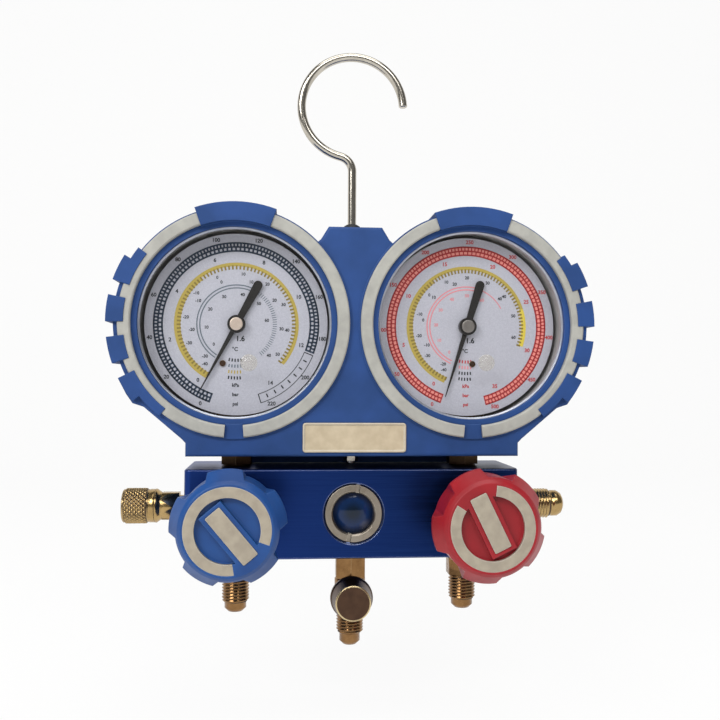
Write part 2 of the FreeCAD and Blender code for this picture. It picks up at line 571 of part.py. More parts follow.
def make_movement(side, where):
    x, z = where[0], where[2]
    # Arbor: pinion between the plates, cap in front of the needle's hub.
    arbor = new_body(side + "_arbor", where, FRONT)
    blank = circle(sketch(arbor, lift="gear_back-0.2"), 0, 0, "gear_module*(pinion_teeth/2+0.8)")
    pad(arbor, blank, "gear_thick+0.4")
    gap = tooth_gap(sketch(arbor, lift="gear_back+gear_thick+0.2", spin="gear_turn"),
                    int(val("pinion_teeth")), False)
    cut = pocket(arbor, gap, "gear_thick+0.4")
    polar(arbor, cut, (gap, ["N_Axis"]), int(val("pinion_teeth")), 360)
    pad(arbor, circle(sketch(arbor, lift="plate_back_z+0.1"), 0, 0, "arbor_r"),
        "hub_front-plate_back_z")
    pad(arbor, circle(sketch(arbor, lift="hub_front"), 0, 0, "hub_cap_r"),
        "hub_cap_front-hub_front")
    top = val("hub_cap_front")
    dress(arbor, "Fillet", "Radius", 0.35, lambda p: abs(p.z - top) < 1e-6)

    # Toothed sector on its own pivot, with a tail for the link.
    px, pz = "gear_gap*cos(gear_turn)", "gear_gap*sin(gear_turn)"
    sector = new_body(side + "_sector", ("%s+%s" % (x, px), 0, "%s+%s" % (z, pz)), FRONT)
    tip, first, last = "gear_module*(sector_teeth/2+0.8)", "gear_turn+139", "gear_turn+187"
    rim = sector_outline(sketch(sector, lift="gear_back"), tip + "-2.4", tip, first, last)
    pad(sector, rim, "gear_thick")
    arms = sector_outline(sketch(sector, lift="gear_back"), "2", tip + "-2.3",
                          "gear_turn+157", "gear_turn+169")
    pad(sector, arms, "gear_thick")
    pad(sector, circle(sketch(sector, lift="gear_back"), 0, 0, 2.6), "gear_thick")
    tail = box(sketch(sector, lift="gear_back", spin="gear_turn"), 0, -1.1, "tail_long", 1.1)
    pad(sector, tail, "gear_thick")
    end = circle(sketch(sector, lift="gear_back", spin="gear_turn"), "tail_long", 0, 1.5)
    pad(sector, end, "gear_thick")
    hole = circle(sketch(sector, lift="gear_back+gear_thick", spin="gear_turn"),
                  "tail_long", 0, "0.5+pivot_play")
    pocket(sector, hole)
    pad(sector, circle(sketch(sector, lift="plate_back_z+0.1"), 0, 0, "arbor_r"),
        "plate_front_z+plate_thick-plate_back_z-0.2")
    half_pitch = 180 / val("sector_teeth")
    gap = tooth_gap(sketch(sector, lift="gear_back+gear_thick",
                           spin="gear_turn+180-%.5f" % (27 * half_pitch)),
                    int(val("sector_teeth")), True)
    cut = pocket(sector, gap, "gear_thick")
    polar(sector, cut, (gap, ["N_Axis"]), 17, 16 * 2 * half_pitch)

    # Link from the sector's tail towards the tube's tip.
    tx = "(gear_gap+tail_long)*cos(gear_turn)"
    tz = "(gear_gap+tail_long)*sin(gear_turn)"
    link = new_body(side + "_link", ("%s+%s" % (x, tx), 0, "%s+%s" % (z, tz)), FRONT)
    level = "gear_back+gear_thick+0.2"
    turn = "gear_turn+88.5"
    bar = box(sketch(link, lift=level, spin=turn), 0, -0.8, "link_long", 0.8)
    pad(link, bar, 0.8)
    for spot in (0, "link_long"):
        pad(link, circle(sketch(link, lift=level, spin=turn), spot, 0, 1.3), 0.8)
    pocket(link, circle(sketch(link, lift=level + "+0.8", spin=turn), "link_long", 0, 0.6))
    pad(link, circle(sketch(link, lift="gear_back-0.1"), 0, 0, 0.5), "gear_thick+0.9")

    # Two plates held apart by pillars that also carry the dial.
    frame = new_body(side + "_movement", where, FRONT)
    shape = [(-10.5, 3), (-10.5, -1), (1, -22), (-4, -28), (4, -28), (9, -25.5),
             (23.5, -7), (23, 0), (3, 7), (-6, 9)]
    pad(frame, outline(sketch(frame, lift="plate_back_z"), shape), "plate_thick")
    pillars = sketch(frame, lift="plate_back_z")
    spots = ((-7, 4.5), (20, -3.5), (5, -22))
    for sx, sz in spots:
        circle(pillars, sx, sz, 1.5)
    pad(frame, pillars, "dial_face-dial_thick-plate_back_z")
    cover = [(-10.5, 3), (-10.5, -1), (1, -22), (4, -25), (8, -25), (23.5, -7), (23, 0),
             (3, 7), (-6, 9)]
    pad(frame, outline(sketch(frame, lift="plate_front_z"), cover), "plate_thick")
    holes = sketch(frame, lift="plate_front_z+plate_thick")
    circle(holes, 0, 0, "arbor_r+pivot_play")
    circle(holes, px, pz, "arbor_r+pivot_play")
    pocket(frame, holes)


def make_tube(side, where):
    # Flattened tube bent to a C; its closed tip carries a lug for the link.
    turn = FRONT.multiply(FreeCAD.Rotation(V(0, 0, 1), val("tube_start")))
    tube = new_body(side + "_bourdon_tube", where, turn)
    wall = sketch(tube, "XZ_Plane")
    for shrink in ("0", "tube_wall"):
        r, h = "(tube_thick/2-%s)" % shrink, "(tube_deep/2-%s)" % shrink
        edge = h + "-tube_thick/4"
        outline(wall, [("tube_r+" + r, "-(%s)" % edge), ("tube_r+" + r, edge),
                       ("tube_r+%s/2" % r, h), ("tube_r-%s/2" % r, h), ("tube_r-" + r, edge),
                       ("tube_r-" + r, "-(%s)" % edge), ("tube_r-%s/2" % r, "-" + h),
                       ("tube_r+%s/2" % r, "-" + h)])
    revolve(tube, wall, angle="tube_sweep")
    tip = box(sketch(tube, lift="gear_back-0.8"), "tube_r-7", -3, "tube_r+tube_thick/2-0.3", 0.5)
    pad(tube, tip, 2.2)

    socket = new_body(side + "_socket_blank", where, FRONT)
    PARTS.remove(socket)
    lump = box(sketch(socket, lift="-case_back+case_floor"), "-socket_half", "-socket_low",
               "socket_half", "-socket_top")
    pad(socket, lump, "case_back-case_floor+6")
    stem_end = "gauge_rise-block_high/2"
    neck = outline(sketch(socket), [
        (0, "-socket_top-3"), (0, "-(%s)-8" % stem_end), ("pipe_r-0.5", "-(%s)-8" % stem_end),
        ("pipe_r", "-(%s)-7.5" % stem_end), ("pipe_r", "-(%s)" % stem_end),
        ("neck_r", "-(%s)" % stem_end), ("neck_r", "-socket_top-3")])
    revolve(socket, neck)
    nut = hexagon(sketch(socket, "XZ_Plane", lift="stem_hex_top"), "stem_hex", True)
    pad(socket, nut, "%s-stem_hex_top-0.6" % stem_end)
    way = circle(sketch(socket, "XZ_Plane", lift=stem_end + "+9"), 0, 0, 1.5)
    pocket(socket, way, "%s+9-socket_low+4" % stem_end)
    cut = doc.addObject("Part::Cut", side + "SocketCut")
    cut.Base = socket
    cut.Tool = tube
    keep(cut, side + "_socket")


def make_gauge(side, x):
    where = (x, 0, "block_z+gauge_rise")
    make_case(side, where)
    make_needle(side, where)
    make_movement(side, where)
    make_tube(side, where)


def make_zero_screws():
    """Slotted adjusting screws on the two dials."""
    heads = []
    for x, dx, dz in (("-side_x", -5.5, -15.9), ("side_x", 2.4, -15.5)):
        head = doc.addObject("Part::Cylinder", "ScrewHead")
        bind(head, "Radius", "screw_r")
        bind(head, "Height", "screw_high")
        place(head, ("%s+(%s)" % (x, dx), "-dial_face", "block_z+gauge_rise+(%s)" % dz), FRONT)
        heads.append(head)
    both = doc.addObject("Part::MultiFuse", "ScrewHeads")
    both.Shapes = heads
    keep(both, "zero_screws")


# ---------------------------------------------------------------- valves

def make_valve(side, x):
    where = (x, 0, "block_z")
    bonnet = turned(side + "_bonnet", where, FRONT, [
        ("spindle_r+running_play", "bonnet_step"), ("bonnet_bore", "bonnet_step"),
        ("bonnet_bore", "bonnet_back"), ("valve_bore_r", "bonnet_back"),
        ("valve_bore_r", "block_deep/2"), ("valve_bore_r+0.8", "block_deep/2"),
        ("valve_bore_r+0.8", "bonnet_front-0.5"), ("valve_bore_r+0.3", "bonnet_front"),
        ("spindle_r+running_play", "bonnet_front"),
        ("spindle_r+running_play", "oring_z+groove_half"), ("groove_r", "oring_z+groove_half"),
        ("groove_r", "oring_z-groove_half"), ("spindle_r+running_play", "oring_z-groove_half")])
    flats = hexagon(sketch(bonnet, lift="block_deep/2"), "bonnet_hex")
    circle(flats, 0, 0, "valve_bore_r-1")
    pad(bonnet, flats, 4)
    inner, outer = "oring_r-oring_thick", "oring_r+oring_thick"
    slope = "0.5*oring_thick"
    turned(side + "_stem_oring", (x, "-oring_z", "block_z"), FRONT, [
        (inner, "-" + slope), ("oring_r-" + slope, "-oring_thick"),
        ("oring_r+" + slope, "-oring_thick"), (outer, "-" + slope), (outer, slope),
        ("oring_r+" + slope, "oring_thick"), ("oring_r-" + slope, "oring_thick"), (inner, slope)])

    disc_front = "disc_back+disc_thick"
    turned(side + "_valve_disc", where, FRONT, [
        (0, "disc_back"), ("disc_r-1.2", "disc_back"), ("disc_r", "disc_back+1.2"),
        ("disc_r", disc_front), ("disc_pin_r+running_play", disc_front),
        ("disc_pin_r+running_play", disc_front + "-disc_pin"), (0, disc_front + "-disc_pin")])
    turn = FRONT.multiply(FreeCAD.Rotation(V(0, 0, 1), val(side + "_knob_turn")))
    stem = turned(side + "_stem", where, turn, [
        (0, disc_front + "-disc_pin+0.1"), ("disc_pin_r", disc_front + "-disc_pin+0.1"),
        ("disc_pin_r", disc_front + "+0.1"), ("spindle_r", disc_front + "+0.1"),
        ("spindle_r", "collar_back"), ("collar_r", "collar_back"),
        ("collar_r", "collar_back+collar_long"), ("spindle_r", "collar_back+collar_long"),
        ("spindle_r", "square_back"), (0, "square_back")])
    half = "spindle_square/2"
    square = box(sketch(stem, lift="square_back"), "-" + half, "-" + half, half, half)
    pad(stem, square, "spindle_end-square_back")
    tapped = circle(sketch(stem, lift="spindle_end"), 0, 0, "knob_screw_r")
    pocket(stem, tapped, "knob_screw_long")
    make_knob(side, where)


def make_knob(side, where):
    turn = FRONT.multiply(FreeCAD.Rotation(V(0, 0, 1), val(side + "_knob_turn")))
    knob = new_body(side + "_knob", where, turn)
    revolve(knob, outline(sketch(knob, "XZ_Plane"), [
        (0, "knob_cavity"), ("knob_notch_r-knob_wall-2", "knob_cavity"),
        ("knob_notch_r-knob_wall", "knob_cavity-3"), ("knob_skirt_r-knob_wall", "knob_back"),
        ("knob_skirt_r", "knob_back"), ("knob_r", "knob_wide_z-1.5"), ("knob_r", "knob_wide_z"),
        ("knob_face_r+0.6", "knob_face-1.2"), ("knob_face_r-0.6", "knob_face"), (0, "knob_face")]))
    # Finger notches with leaning flanks, halfway between the lobes.
    notch = outline(sketch(knob, lift="knob_face"), [
        around("knob_r+1", "36-knob_notch_high") + ("knob_r+1",),
        around("knob_r+1", "36+knob_notch_high"),
        around("knob_notch_r", "36+knob_notch_low") + ("-knob_notch_r",),
        around("knob_notch_r", "36-knob_notch_low")])
    polar(knob, pocket(knob, notch), (notch, ["N_Axis"]), int(val("knob_lobes")), 360)
    hub = circle(sketch(knob, lift="square_back"), 0, 0, "knob_hub_r")
    pad(knob, hub, "knob_cavity-square_back+0.5")

    # Horseshoe bowl round the grip bar, then the seat of the C-shaped inlay.
    reach = "sqrt(bowl_r^2-bar_half^2)"
    bowl = outline(sketch(knob, lift="knob_face"), [
        (reach, "bar_half", "bowl_r"), (0, "bowl_r", "bowl_r"), ("-bowl_r", 0, "bowl_r"),
        (0, "-bowl_r", "bowl_r"), (reach, "-bar_half"), ("-bar_end", "-bar_half"),
        ("-bar_end", "bar_half")])
    pocket(knob, bowl, "bowl_deep")
    pocket(knob, c_outline(sketch(knob, lift="knob_face")), "c_ring_deep")
    recess = label_box(sketch(knob, lift="knob_face"))
    pocket(knob, recess, "label_deep")
    pocket(knob, circle(sketch(knob, lift="knob_face"), 0, 0, "knob_screw_head+0.1"),
           "knob_face-knob_screw_seat")
    pocket(knob, circle(sketch(knob, lift="knob_face"), 0, 0, "knob_screw_r"))
    half = "spindle_square/2"
    square = box(sketch(knob, lift="spindle_end"), "-" + half, "-" + half, half, half)
    pocket(knob, square)

    inlay = new_body(side + "_knob_ring", where, turn)
    pad(inlay, c_outline(sketch(inlay, lift="knob_face-c_ring_deep")), "c_ring_deep")
    label = new_body(side + "_knob_label", where, turn)
    pad(label, label_box(sketch(label, lift="knob_face-label_deep")), "label_deep+label_proud")
    turned(side + "_knob_screw", where, turn, [
        (0, "knob_screw_seat-knob_screw_long"), ("knob_screw_r", "knob_screw_seat-knob_screw_long"),
        ("knob_screw_r", "knob_screw_seat"), ("knob_screw_head", "knob_screw_seat"),
        ("knob_screw_head", "knob_screw_seat+1.6"), ("knob_screw_head-0.6", "knob_screw_seat+2.2"),
        (1, "knob_screw_seat+2.2"), (1, "knob_screw_seat+1.2"), (0, "knob_screw_seat+1.2")])


def c_outline(made):
    """C-shaped inlay: a ring open over twice c_ring_gap degrees about +X."""
    big, small = "c_ring_r", "bowl_r"
    corners = [around(big, "c_ring_gap") + (big,), (0, big, big), ("-" + big, 0, big),
               (0, "-" + big, big), around(big, "-c_ring_gap"),
               around(small, "-c_ring_gap") + ("-" + small,), (0, "-" + small, "-" + small),
               ("-" + small, 0, "-" + small), (0, small, "-" + small), around(small, "c_ring_gap")]
    return outline(made, corners)


def label_box(made):
    return rounded_box(made, "label_long", "label_wide", "0.5", x="label_shift")


# ---------------------------------------------------------------- fittings

def make_ports():
    low = "block_z-block_high/2"
    for side, x in (("low", "-side_x"), ("high", "side_x")):
        port = turned(side + "_port", (x, 0, low), DOWN, [
            ("bore_r", -8), ("pipe_r-0.5", -8), ("pipe_r", -7.5), ("pipe_r", "port_hex_long"),
            ("flare_r-0.7", "port_hex_long"), ("flare_r-0.7", "port_thread_start"),
            ("flare_r", "port_thread_start+0.7"), ("flare_r", "port_thread_end-0.7"),
            ("nose_r+0.4", "port_thread_end"), ("nose_r", "port_thread_end+0.4"),
            ("nose_r", "port_long-1.4"), ("nose_r-1.4", "port_long"), ("bore_r", "port_long")])
        nut = hexagon(sketch(port), "port_hex", True)
        circle(nut, 0, 0, "pipe_r-1")
        pad(port, nut, "port_hex_long")

    nipple = turned("charge_nipple", (0, 0, low), DOWN, [
        ("bore_r", -8), ("pipe_r-0.5", -8), ("pipe_r", -7.5),
        ("pipe_r", "nipple_long+nipple_screw"), ("bore_r", "nipple_long+nipple_screw")])
    nut = hexagon(sketch(nipple), "port_hex", True)
    circle(nut, 0, 0, "pipe_r-1")
    pad(nipple, nut, "nipple_long")

    tee = turned("charge_tee", (0, 0, low), DOWN, [
        ("pipe_r", "nipple_long"), ("tee_r-0.6", "nipple_long"), ("tee_r", "nipple_long+0.6"),
        ("tee_r", "tee_end-0.6"), ("tee_r-0.6", "tee_end"), ("flare_r-0.7", "tee_end"),
        ("flare_r", "tee_end+0.7"), ("flare_r", "tee_thread_end-0.7"),
        ("nose_r+0.2", "tee_thread_end"), ("nose_r-0.2", "tee_thread_end+0.4"),
        ("nose_r-0.2", "tee_long-1.4"), ("nose_r-1.6", "tee_long"), ("bore_r", "tee_long"),
        ("bore_r", "nipple_long+nipple_screw"), ("pipe_r", "nipple_long+nipple_screw")])
    steps = ((0, "branch_shoulder", "tee_r"), ("branch_shoulder", "branch_thread_end", "flare_r"),
             ("branch_thread_end", "branch_long", "nose_r"))
    for start, stop, r in steps:
        arm = circle(sketch(tee, "XZ_Plane", lift="-(%s)" % start), 0, "branch_drop", r)
        if start == 0:
            circle(arm, 0, "branch_drop", "bore_r+0.4")
        pad(tee, arm, "(%s)-(%s)" % (stop, start), back=True)
    way = circle(sketch(tee, "XZ_Plane", lift="-branch_long"), 0, "branch_drop", "bore_r")
    pocket(tee, way, "branch_long")
    shaft = circle(sketch(tee, lift="tee_long"), 0, 0, "bore_r")
    pocket(tee, shaft, "tee_long-nipple_long-nipple_screw")
    seat = circle(sketch(tee, lift="nipple_long+nipple_screw"), 0, 0, "pipe_r")
    pocket(tee, seat, "nipple_screw")

    where = (0, 0, low + "-branch_drop")
    turned("tee_cap", where, FRONT, [
        (0, "tee_cap_front"), ("tee_cap_face_r-0.4", "tee_cap_front"),
        ("tee_cap_face_r", "tee_cap_front-0.4"), ("tee_cap_r-0.5", "tee_cap_rim+0.8"),
        ("tee_cap_r", "tee_cap_rim"), ("tee_cap_r", "tee_cap_back"),
        ("flare_r+cap_play", "tee_cap_back"), ("flare_r+cap_play", "tee_cap_floor"),
        (0, "tee_cap_floor")])
    floor = "tee_cap_floor-0.05"
    turned("tee_gasket", where, FRONT, [
        (0, floor), ("gasket_r", floor), ("gasket_r", floor + "-gasket_thick"),
        (0, floor + "-gasket_thick")])


def make_side_fittings():
    where = ("-block_wide/2", "gallery_y", "block_z")
    port = turned("side_port", where, LEFT, [
        ("bore_r", -8), ("pipe_r-0.5", -8), ("pipe_r", -7.5), ("pipe_r", -0.01),
        ("side_neck_r", 0), ("side_neck_r", "side_hex_end"),
        ("side_hex/2", "side_hex_end"), ("side_flange_r", "side_flange_end-0.6"),
        ("side_flange_r", "side_flange_end"), ("flare_r-0.7", "side_flange_end"),
        ("flare_r", "side_flange_end+0.7"), ("flare_r", "side_thread_end-0.7"),
        ("nose_r", "side_thread_end+0.2"), ("nose_r", "side_long-1.2"),
        ("nose_r-1.2", "side_long"), ("bore_r", "side_long")])
    nut = hexagon(sketch(port, lift="side_hex_start"), "side_hex", True)
    circle(nut, 0, 0, "side_neck_r-1")
    pad(port, nut, "side_hex_end-side_hex_start")
    turned("side_cap", where, LEFT, [
        ("flare_r+cap_play", "side_cap_start"), ("side_collar_r", "side_cap_start"),
        ("side_collar_r", "side_cap_knurl-0.4"), ("side_collar_r-0.4", "side_cap_knurl"),
        ("side_cap_r-0.5", "side_cap_knurl"), ("side_cap_r", "side_cap_knurl+0.5"),
        ("side_cap_r", "side_cap_end-0.8"), ("side_cap_r-0.8", "side_cap_end"),
        (0, "side_cap_end"), (0, "side_cap_floor"), ("flare_r+cap_play", "side_cap_floor")])
    floor = "side_cap_floor-0.05"
    turned("side_gasket", where, LEFT, [
        (0, floor), ("gasket_r", floor), ("gasket_r", floor + "-gasket_thick"),
        (0, floor + "-gasket_thick")])

    stud = turned("parking_stud", ("block_wide/2", "gallery_y", "block_z"), RIGHT, [
        ("bore_r", -8), ("pipe_r-0.5", -8), ("pipe_r", -7.5), ("pipe_r", 0), ("stud_r-0.8", 0),
        ("stud_r-0.8", "stud_thread_start"), ("stud_r", "stud_thread_start+0.7"),
        ("stud_r", "stud_thread_end-0.7"), ("stud_r-1.1", "stud_thread_end"),
        ("stud_r-1.1", "stud_thread_end+0.8"), ("stud_r-0.8", "stud_thread_end+1"),
        ("stud_r-0.8", "stud_long-2.6"), ("stud_r-1.8", "stud_long-0.9"),
        ("stud_r-3.4", "stud_long"), (0, "stud_long"), (0, 6), ("bore_r", 6)])
    nut = hexagon(sketch(stud), "port_hex", True)
    circle(nut, 0, 0, "pipe_r-1")
    pad(stud, nut, "stud_thread_start-1")


# ---------------------------------------------------------------- hook

def make_hook():
    body = new_body("hook", (0, 0, 0))
    z, far = "hook_centre", "hook_r+hook_neck_r"
    rise = "sqrt((%s)^2-hook_neck_r^2)" % far
    foot, neck = "block_z+hook_foot", "%s-%s" % (z, rise)
    meet = ("-hook_neck_r*hook_r/(%s)" % far, "%s-%s*hook_r/(%s)" % (z, rise, far))
    path = outline(sketch(body, "XZ_Plane"), [
        (0, foot), (0, neck, "hook_neck_r"), meet + ("-hook_r",), ("-hook_r", z, "-hook_r"),
        (0, z + "+hook_r", "-hook_r"), ("sqrt(hook_r^2-hook_tip^2)", z + "+hook_tip")], False)
    round_wire = circle(sketch(body, "XY_Plane", lift=foot), 0, 0, "wire_r")
    sweep = body.newObject("PartDesign::AdditivePipe", "Bend")
    sweep.Profile = round_wire
    sweep.Spine = path
    body.Tip = sweep
    end = val("hook_tip+hook_centre")
    dress(body, "Chamfer", "Size", 0.4,
          lambda p: p.x > 0 and abs(p.z - end) < 0.4 and p.x > val("hook_r-wire_r-0.3"))

    top = "block_z+boot_top"
    turned("hook_bush", (0, 0, top), UP, [
        ("wire_r+running_play", "-bush_sleeve"), ("bush_sleeve_r", "-bush_sleeve"),
        ("bush_sleeve_r", 0), ("bush_r", 0), ("bush_r-0.3", "bush_high*0.5"),
        ("bush_r-1.2", "bush_high*0.85"), ("bush_r-2.2", "bush_high"),
        ("wire_r+running_play", "bush_high")])
    nut = new_body("hook_nut", (0, 0, "block_z+nut_low"))
    flats = hexagon(sketch(nut), "nut_flats")
    circle(flats, 0, 0, "wire_r")
    pad(nut, flats, "nut_high")


make_block()
make_sight_glass()
make_boot()
make_nameplate()
for side, x, sign in (("low", "-side_x", -1), ("high", "side_x", 1)):
    make_glow_ring(side, x, sign)
    make_gauge(side, x)
    make_valve(side, x)
make_zero_screws()
make_ports()
make_side_fittings()
make_hook()
doc.recompute()

for thing in doc.Objects:
    bad = [state for state in thing.State if state in ("Invalid", "Error")]
    if bad:
        raise RuntimeError("%s (%s) is %s" % (thing.Name, thing.Label, bad))
for thing in PARTS:
    if thing.Shape.isNull() or not thing.Shape.isValid():
        raise RuntimeError(thing.Label + " has no valid shape")

os.makedirs("parts", exist_ok=True)
for thing in PARTS:
    thing.Shape.exportStep("parts/%s.step" % thing.Label)
print("%d parts" % len(PARTS))
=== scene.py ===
import math

import bmesh
import bpy
from mathutils import Matrix, Vector


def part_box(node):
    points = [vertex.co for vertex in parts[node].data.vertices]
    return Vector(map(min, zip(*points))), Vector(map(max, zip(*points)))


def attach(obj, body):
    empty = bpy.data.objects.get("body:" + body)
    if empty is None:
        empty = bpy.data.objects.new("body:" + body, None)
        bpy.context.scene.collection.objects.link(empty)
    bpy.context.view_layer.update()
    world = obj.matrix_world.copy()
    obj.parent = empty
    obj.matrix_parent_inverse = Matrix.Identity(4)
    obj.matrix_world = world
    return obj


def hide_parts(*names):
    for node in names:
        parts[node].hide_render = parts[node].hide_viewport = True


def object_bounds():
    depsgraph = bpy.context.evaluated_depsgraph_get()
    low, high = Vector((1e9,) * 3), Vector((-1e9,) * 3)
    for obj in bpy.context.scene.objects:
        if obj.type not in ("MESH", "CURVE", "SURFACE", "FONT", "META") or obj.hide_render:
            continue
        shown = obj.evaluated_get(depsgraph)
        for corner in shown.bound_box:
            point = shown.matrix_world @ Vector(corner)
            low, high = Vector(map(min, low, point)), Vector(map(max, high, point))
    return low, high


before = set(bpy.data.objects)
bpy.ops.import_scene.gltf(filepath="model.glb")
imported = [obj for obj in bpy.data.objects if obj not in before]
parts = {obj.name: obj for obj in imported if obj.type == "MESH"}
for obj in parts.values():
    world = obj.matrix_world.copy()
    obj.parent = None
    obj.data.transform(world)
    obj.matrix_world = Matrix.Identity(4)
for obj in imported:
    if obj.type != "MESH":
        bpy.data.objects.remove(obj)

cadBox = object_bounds()
mm = 0.001
print("frame loaded:", len(parts), "nodes")


def linear(code):
    values = [int(code[i:i + 2], 16) / 255 for i in (1, 3, 5)]
    return tuple(v / 12.92 if v <= 0.04045 else ((v + 0.055) / 1.055) ** 2.4 for v in values) + (1,)


def frontCentre(name):
    # The middle of a node's box, on its front face.
    lowest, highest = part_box(name)
    return Vector(((lowest[0] + highest[0]) / 2, lowest[1], (lowest[2] + highest[2]) / 2))


def addNode(tree, kind, inputs=(), take=None, **settings):
    # Inputs go by name or number, and take hands back that output instead of the node.
    made = tree.nodes.new(kind)
    for key, value in settings.items():
        setattr(made, key, value)
    for key, value in (inputs.items() if isinstance(inputs, dict) else enumerate(inputs)):
        if isinstance(value, bpy.types.NodeSocket):
            tree.links.new(value, made.inputs[key])
        else:
            made.inputs[key].default_value = value
    return made if take is None else made.outputs[take]


def newGeometryTree(name, sockets):
    tree = bpy.data.node_groups.new(name, "GeometryNodeTree")
    tree.interface.new_socket("Geometry", in_out="OUTPUT", socket_type="NodeSocketGeometry")
    for label, kind, value in sockets:
        made = tree.interface.new_socket(label, in_out="INPUT", socket_type="NodeSocket" + kind)
        if value is not None:
            made.default_value = value
    return tree, addNode(tree, "NodeGroupInput").outputs


def closeTree(tree, geometry, material):
    real = addNode(tree, "GeometryNodeRealizeInstances", (geometry,), 0)
    painted = addNode(tree, "GeometryNodeSetMaterial", {0: real, "Material": material}, 0)
    addNode(tree, "NodeGroupOutput", (painted,))


def linkMesh(name, mesh):
    piece = bpy.data.objects.new(name, mesh)
    bpy.context.scene.collection.objects.link(piece)
    return piece


def bakeMesh(piece):
    # The piece with its modifiers as a plain mesh; the piece itself goes.
    graph = bpy.context.evaluated_depsgraph_get()
    mesh = bpy.data.meshes.new_from_object(piece.evaluated_get(graph), depsgraph=graph)
    piece.modifiers.clear()
    bpy.data.objects.remove(piece)
    return mesh


def growMesh(tree, values):
    seed = linkMesh("seed", bpy.data.meshes.new("seed"))
    modifier = seed.modifiers.new("grow", "NODES")
    modifier.node_group = tree
    for item in tree.interface.items_tree:
        if item.in_out == "INPUT" and item.name in values:
            modifier[item.identifier] = values[item.name]
    return bakeMesh(seed)


def joinMeshes(name, meshes, smooth=35):
    # One object from several meshes, each with its own materials. Smooth is the sharpest bend in
    # degrees that still shades smoothly, and 0 leaves every face flat.
    joined = bmesh.new()
    materials = []
    for mesh in meshes:
        used = [material for material in mesh.materials if material]
        materials += [material for material in used if material not in materials]
        # A grown mesh starts with an empty slot, which none of its faces use.
        slots = [materials.index(material) if material else 0 for material in mesh.materials]
        first = len(joined.faces)
        joined.from_mesh(mesh)
        joined.faces.ensure_lookup_table()
        for face in joined.faces[first:]:
            face.material_index = slots[face.material_index]
    result = bpy.data.meshes.new(name)
    joined.to_mesh(result)
    joined.free()
    for material in materials:
        result.materials.append(material)
    if smooth:
        result.shade_smooth()
        result.set_sharp_from_angle(angle=math.radians(smooth))
    return linkMesh(name, result)


def startMaterial(name, **sockets):
    material = bpy.data.materials.new(name)
    material.use_nodes = True
    tree = material.node_tree
    tree.nodes.clear()
    shader = addNode(tree, "ShaderNodeBsdfPrincipled", sockets)
    addNode(tree, "ShaderNodeOutputMaterial", {"Surface": shader.outputs[0]})
    return material, tree, shader


def grain(tree, size, stretch=None, detail=2.0, rough=0.5):
    # Noise with cells of about this many millimetres, drawn out along the axes of small stretch.
    place = addNode(tree, "ShaderNodeTexCoord", take="Object")
    if stretch:
        place = addNode(tree, "ShaderNodeMapping", {"Vector": place, "Scale": stretch}, 0)
    return addNode(tree, "ShaderNodeTexNoise", {
        "Vector": place, "Scale": 1 / (size * mm), "Detail": detail, "Roughness": rough}, "Fac")


# The cosine of the lean where an edge is fully rubbed, and where it is still whole.
edgeLook = {"worn": 0.75, "whole": 0.99, "samples": 6}


def edgeWear(tree, radius):
    # How far the rounded normal leans from the flat one: high along edges only.
    soft = addNode(tree, "ShaderNodeBevel", {"Radius": radius * mm}, 0,
                   samples=edgeLook["samples"])
    flat = addNode(tree, "ShaderNodeNewGeometry", take="Normal")
    dot = addNode(tree, "ShaderNodeVectorMath", (soft, flat), "Value", operation="DOT_PRODUCT")
    edge = addNode(tree, "ShaderNodeMapRange", {
        "Value": dot, "From Min": edgeLook["worn"], "From Max": edgeLook["whole"], "To Min": 1.0,
        "To Max": 0.0}, 0)
    return edge, soft


def rubEdges(tree, tone, edge, wear, code):
    # The tone with its edges gone towards this colour.
    share = addNode(tree, "ShaderNodeMath", (edge, wear), 0, operation="MULTIPLY")
    return addNode(tree, "ShaderNodeMix", {0: share, 6: tone, 7: linear(code)}, 2,
                   data_type="RGBA")


def workSurface(tree, shader, tone, gloss, height, soft, strength, deep):
    # Joins a surface's colour, roughness and relief to its shader; deep is in millimetres.
    bump = addNode(tree, "ShaderNodeBump", {
        "Height": height, "Normal": soft, "Strength": strength, "Distance": deep * mm}, 0)
    for socket, value in (("Base Color", tone), ("Roughness", gloss), ("Normal", bump)):
        tree.links.new(value, shader.inputs[socket])


# Each band of a noise pattern's values is spread over the whole range of a colour or a gloss.
mouldLook = {"clouds": (0.35, 0.65), "smoother": 0.05, "rougher": 0.06, "deep": 0.02}


def mouldedPlastic(name, look):
    # Injection moulding: a fine spark-eroded grain, slow clouds from the flow, edges rubbed pale.
    material, tree, shader = startMaterial(name)
    edge, soft = edgeWear(tree, look["round"])
    least, most = mouldLook["clouds"]
    cloud = addNode(tree, "ShaderNodeMapRange", {
        "Value": grain(tree, look["cloud"], detail=3), "From Min": least, "From Max": most}, 0)
    base = addNode(tree, "ShaderNodeMix", {
        0: cloud, 6: linear(look["base"]), 7: linear(look["shade"])}, 2, data_type="RGBA")
    tone = rubEdges(tree, base, edge, look["wear"], look["worn"])
    shader.inputs["Specular IOR Level"].default_value = look["sheen"]
    gloss = addNode(tree, "ShaderNodeMapRange", {
        "Value": cloud, "To Min": look["rough"] - mouldLook["smoother"],
        "To Max": look["rough"] + mouldLook["rougher"]}, 0)
    workSurface(tree, shader, tone, gloss, grain(tree, look["grain"], detail=1), soft,
                look["bump"], mouldLook["deep"])
    return material


turnedLook = {"rings": (0.3, 0.7), "stains": (0.38, 0.72), "round": 0.3, "rougher": 0.12,
              "deep": 0.01}


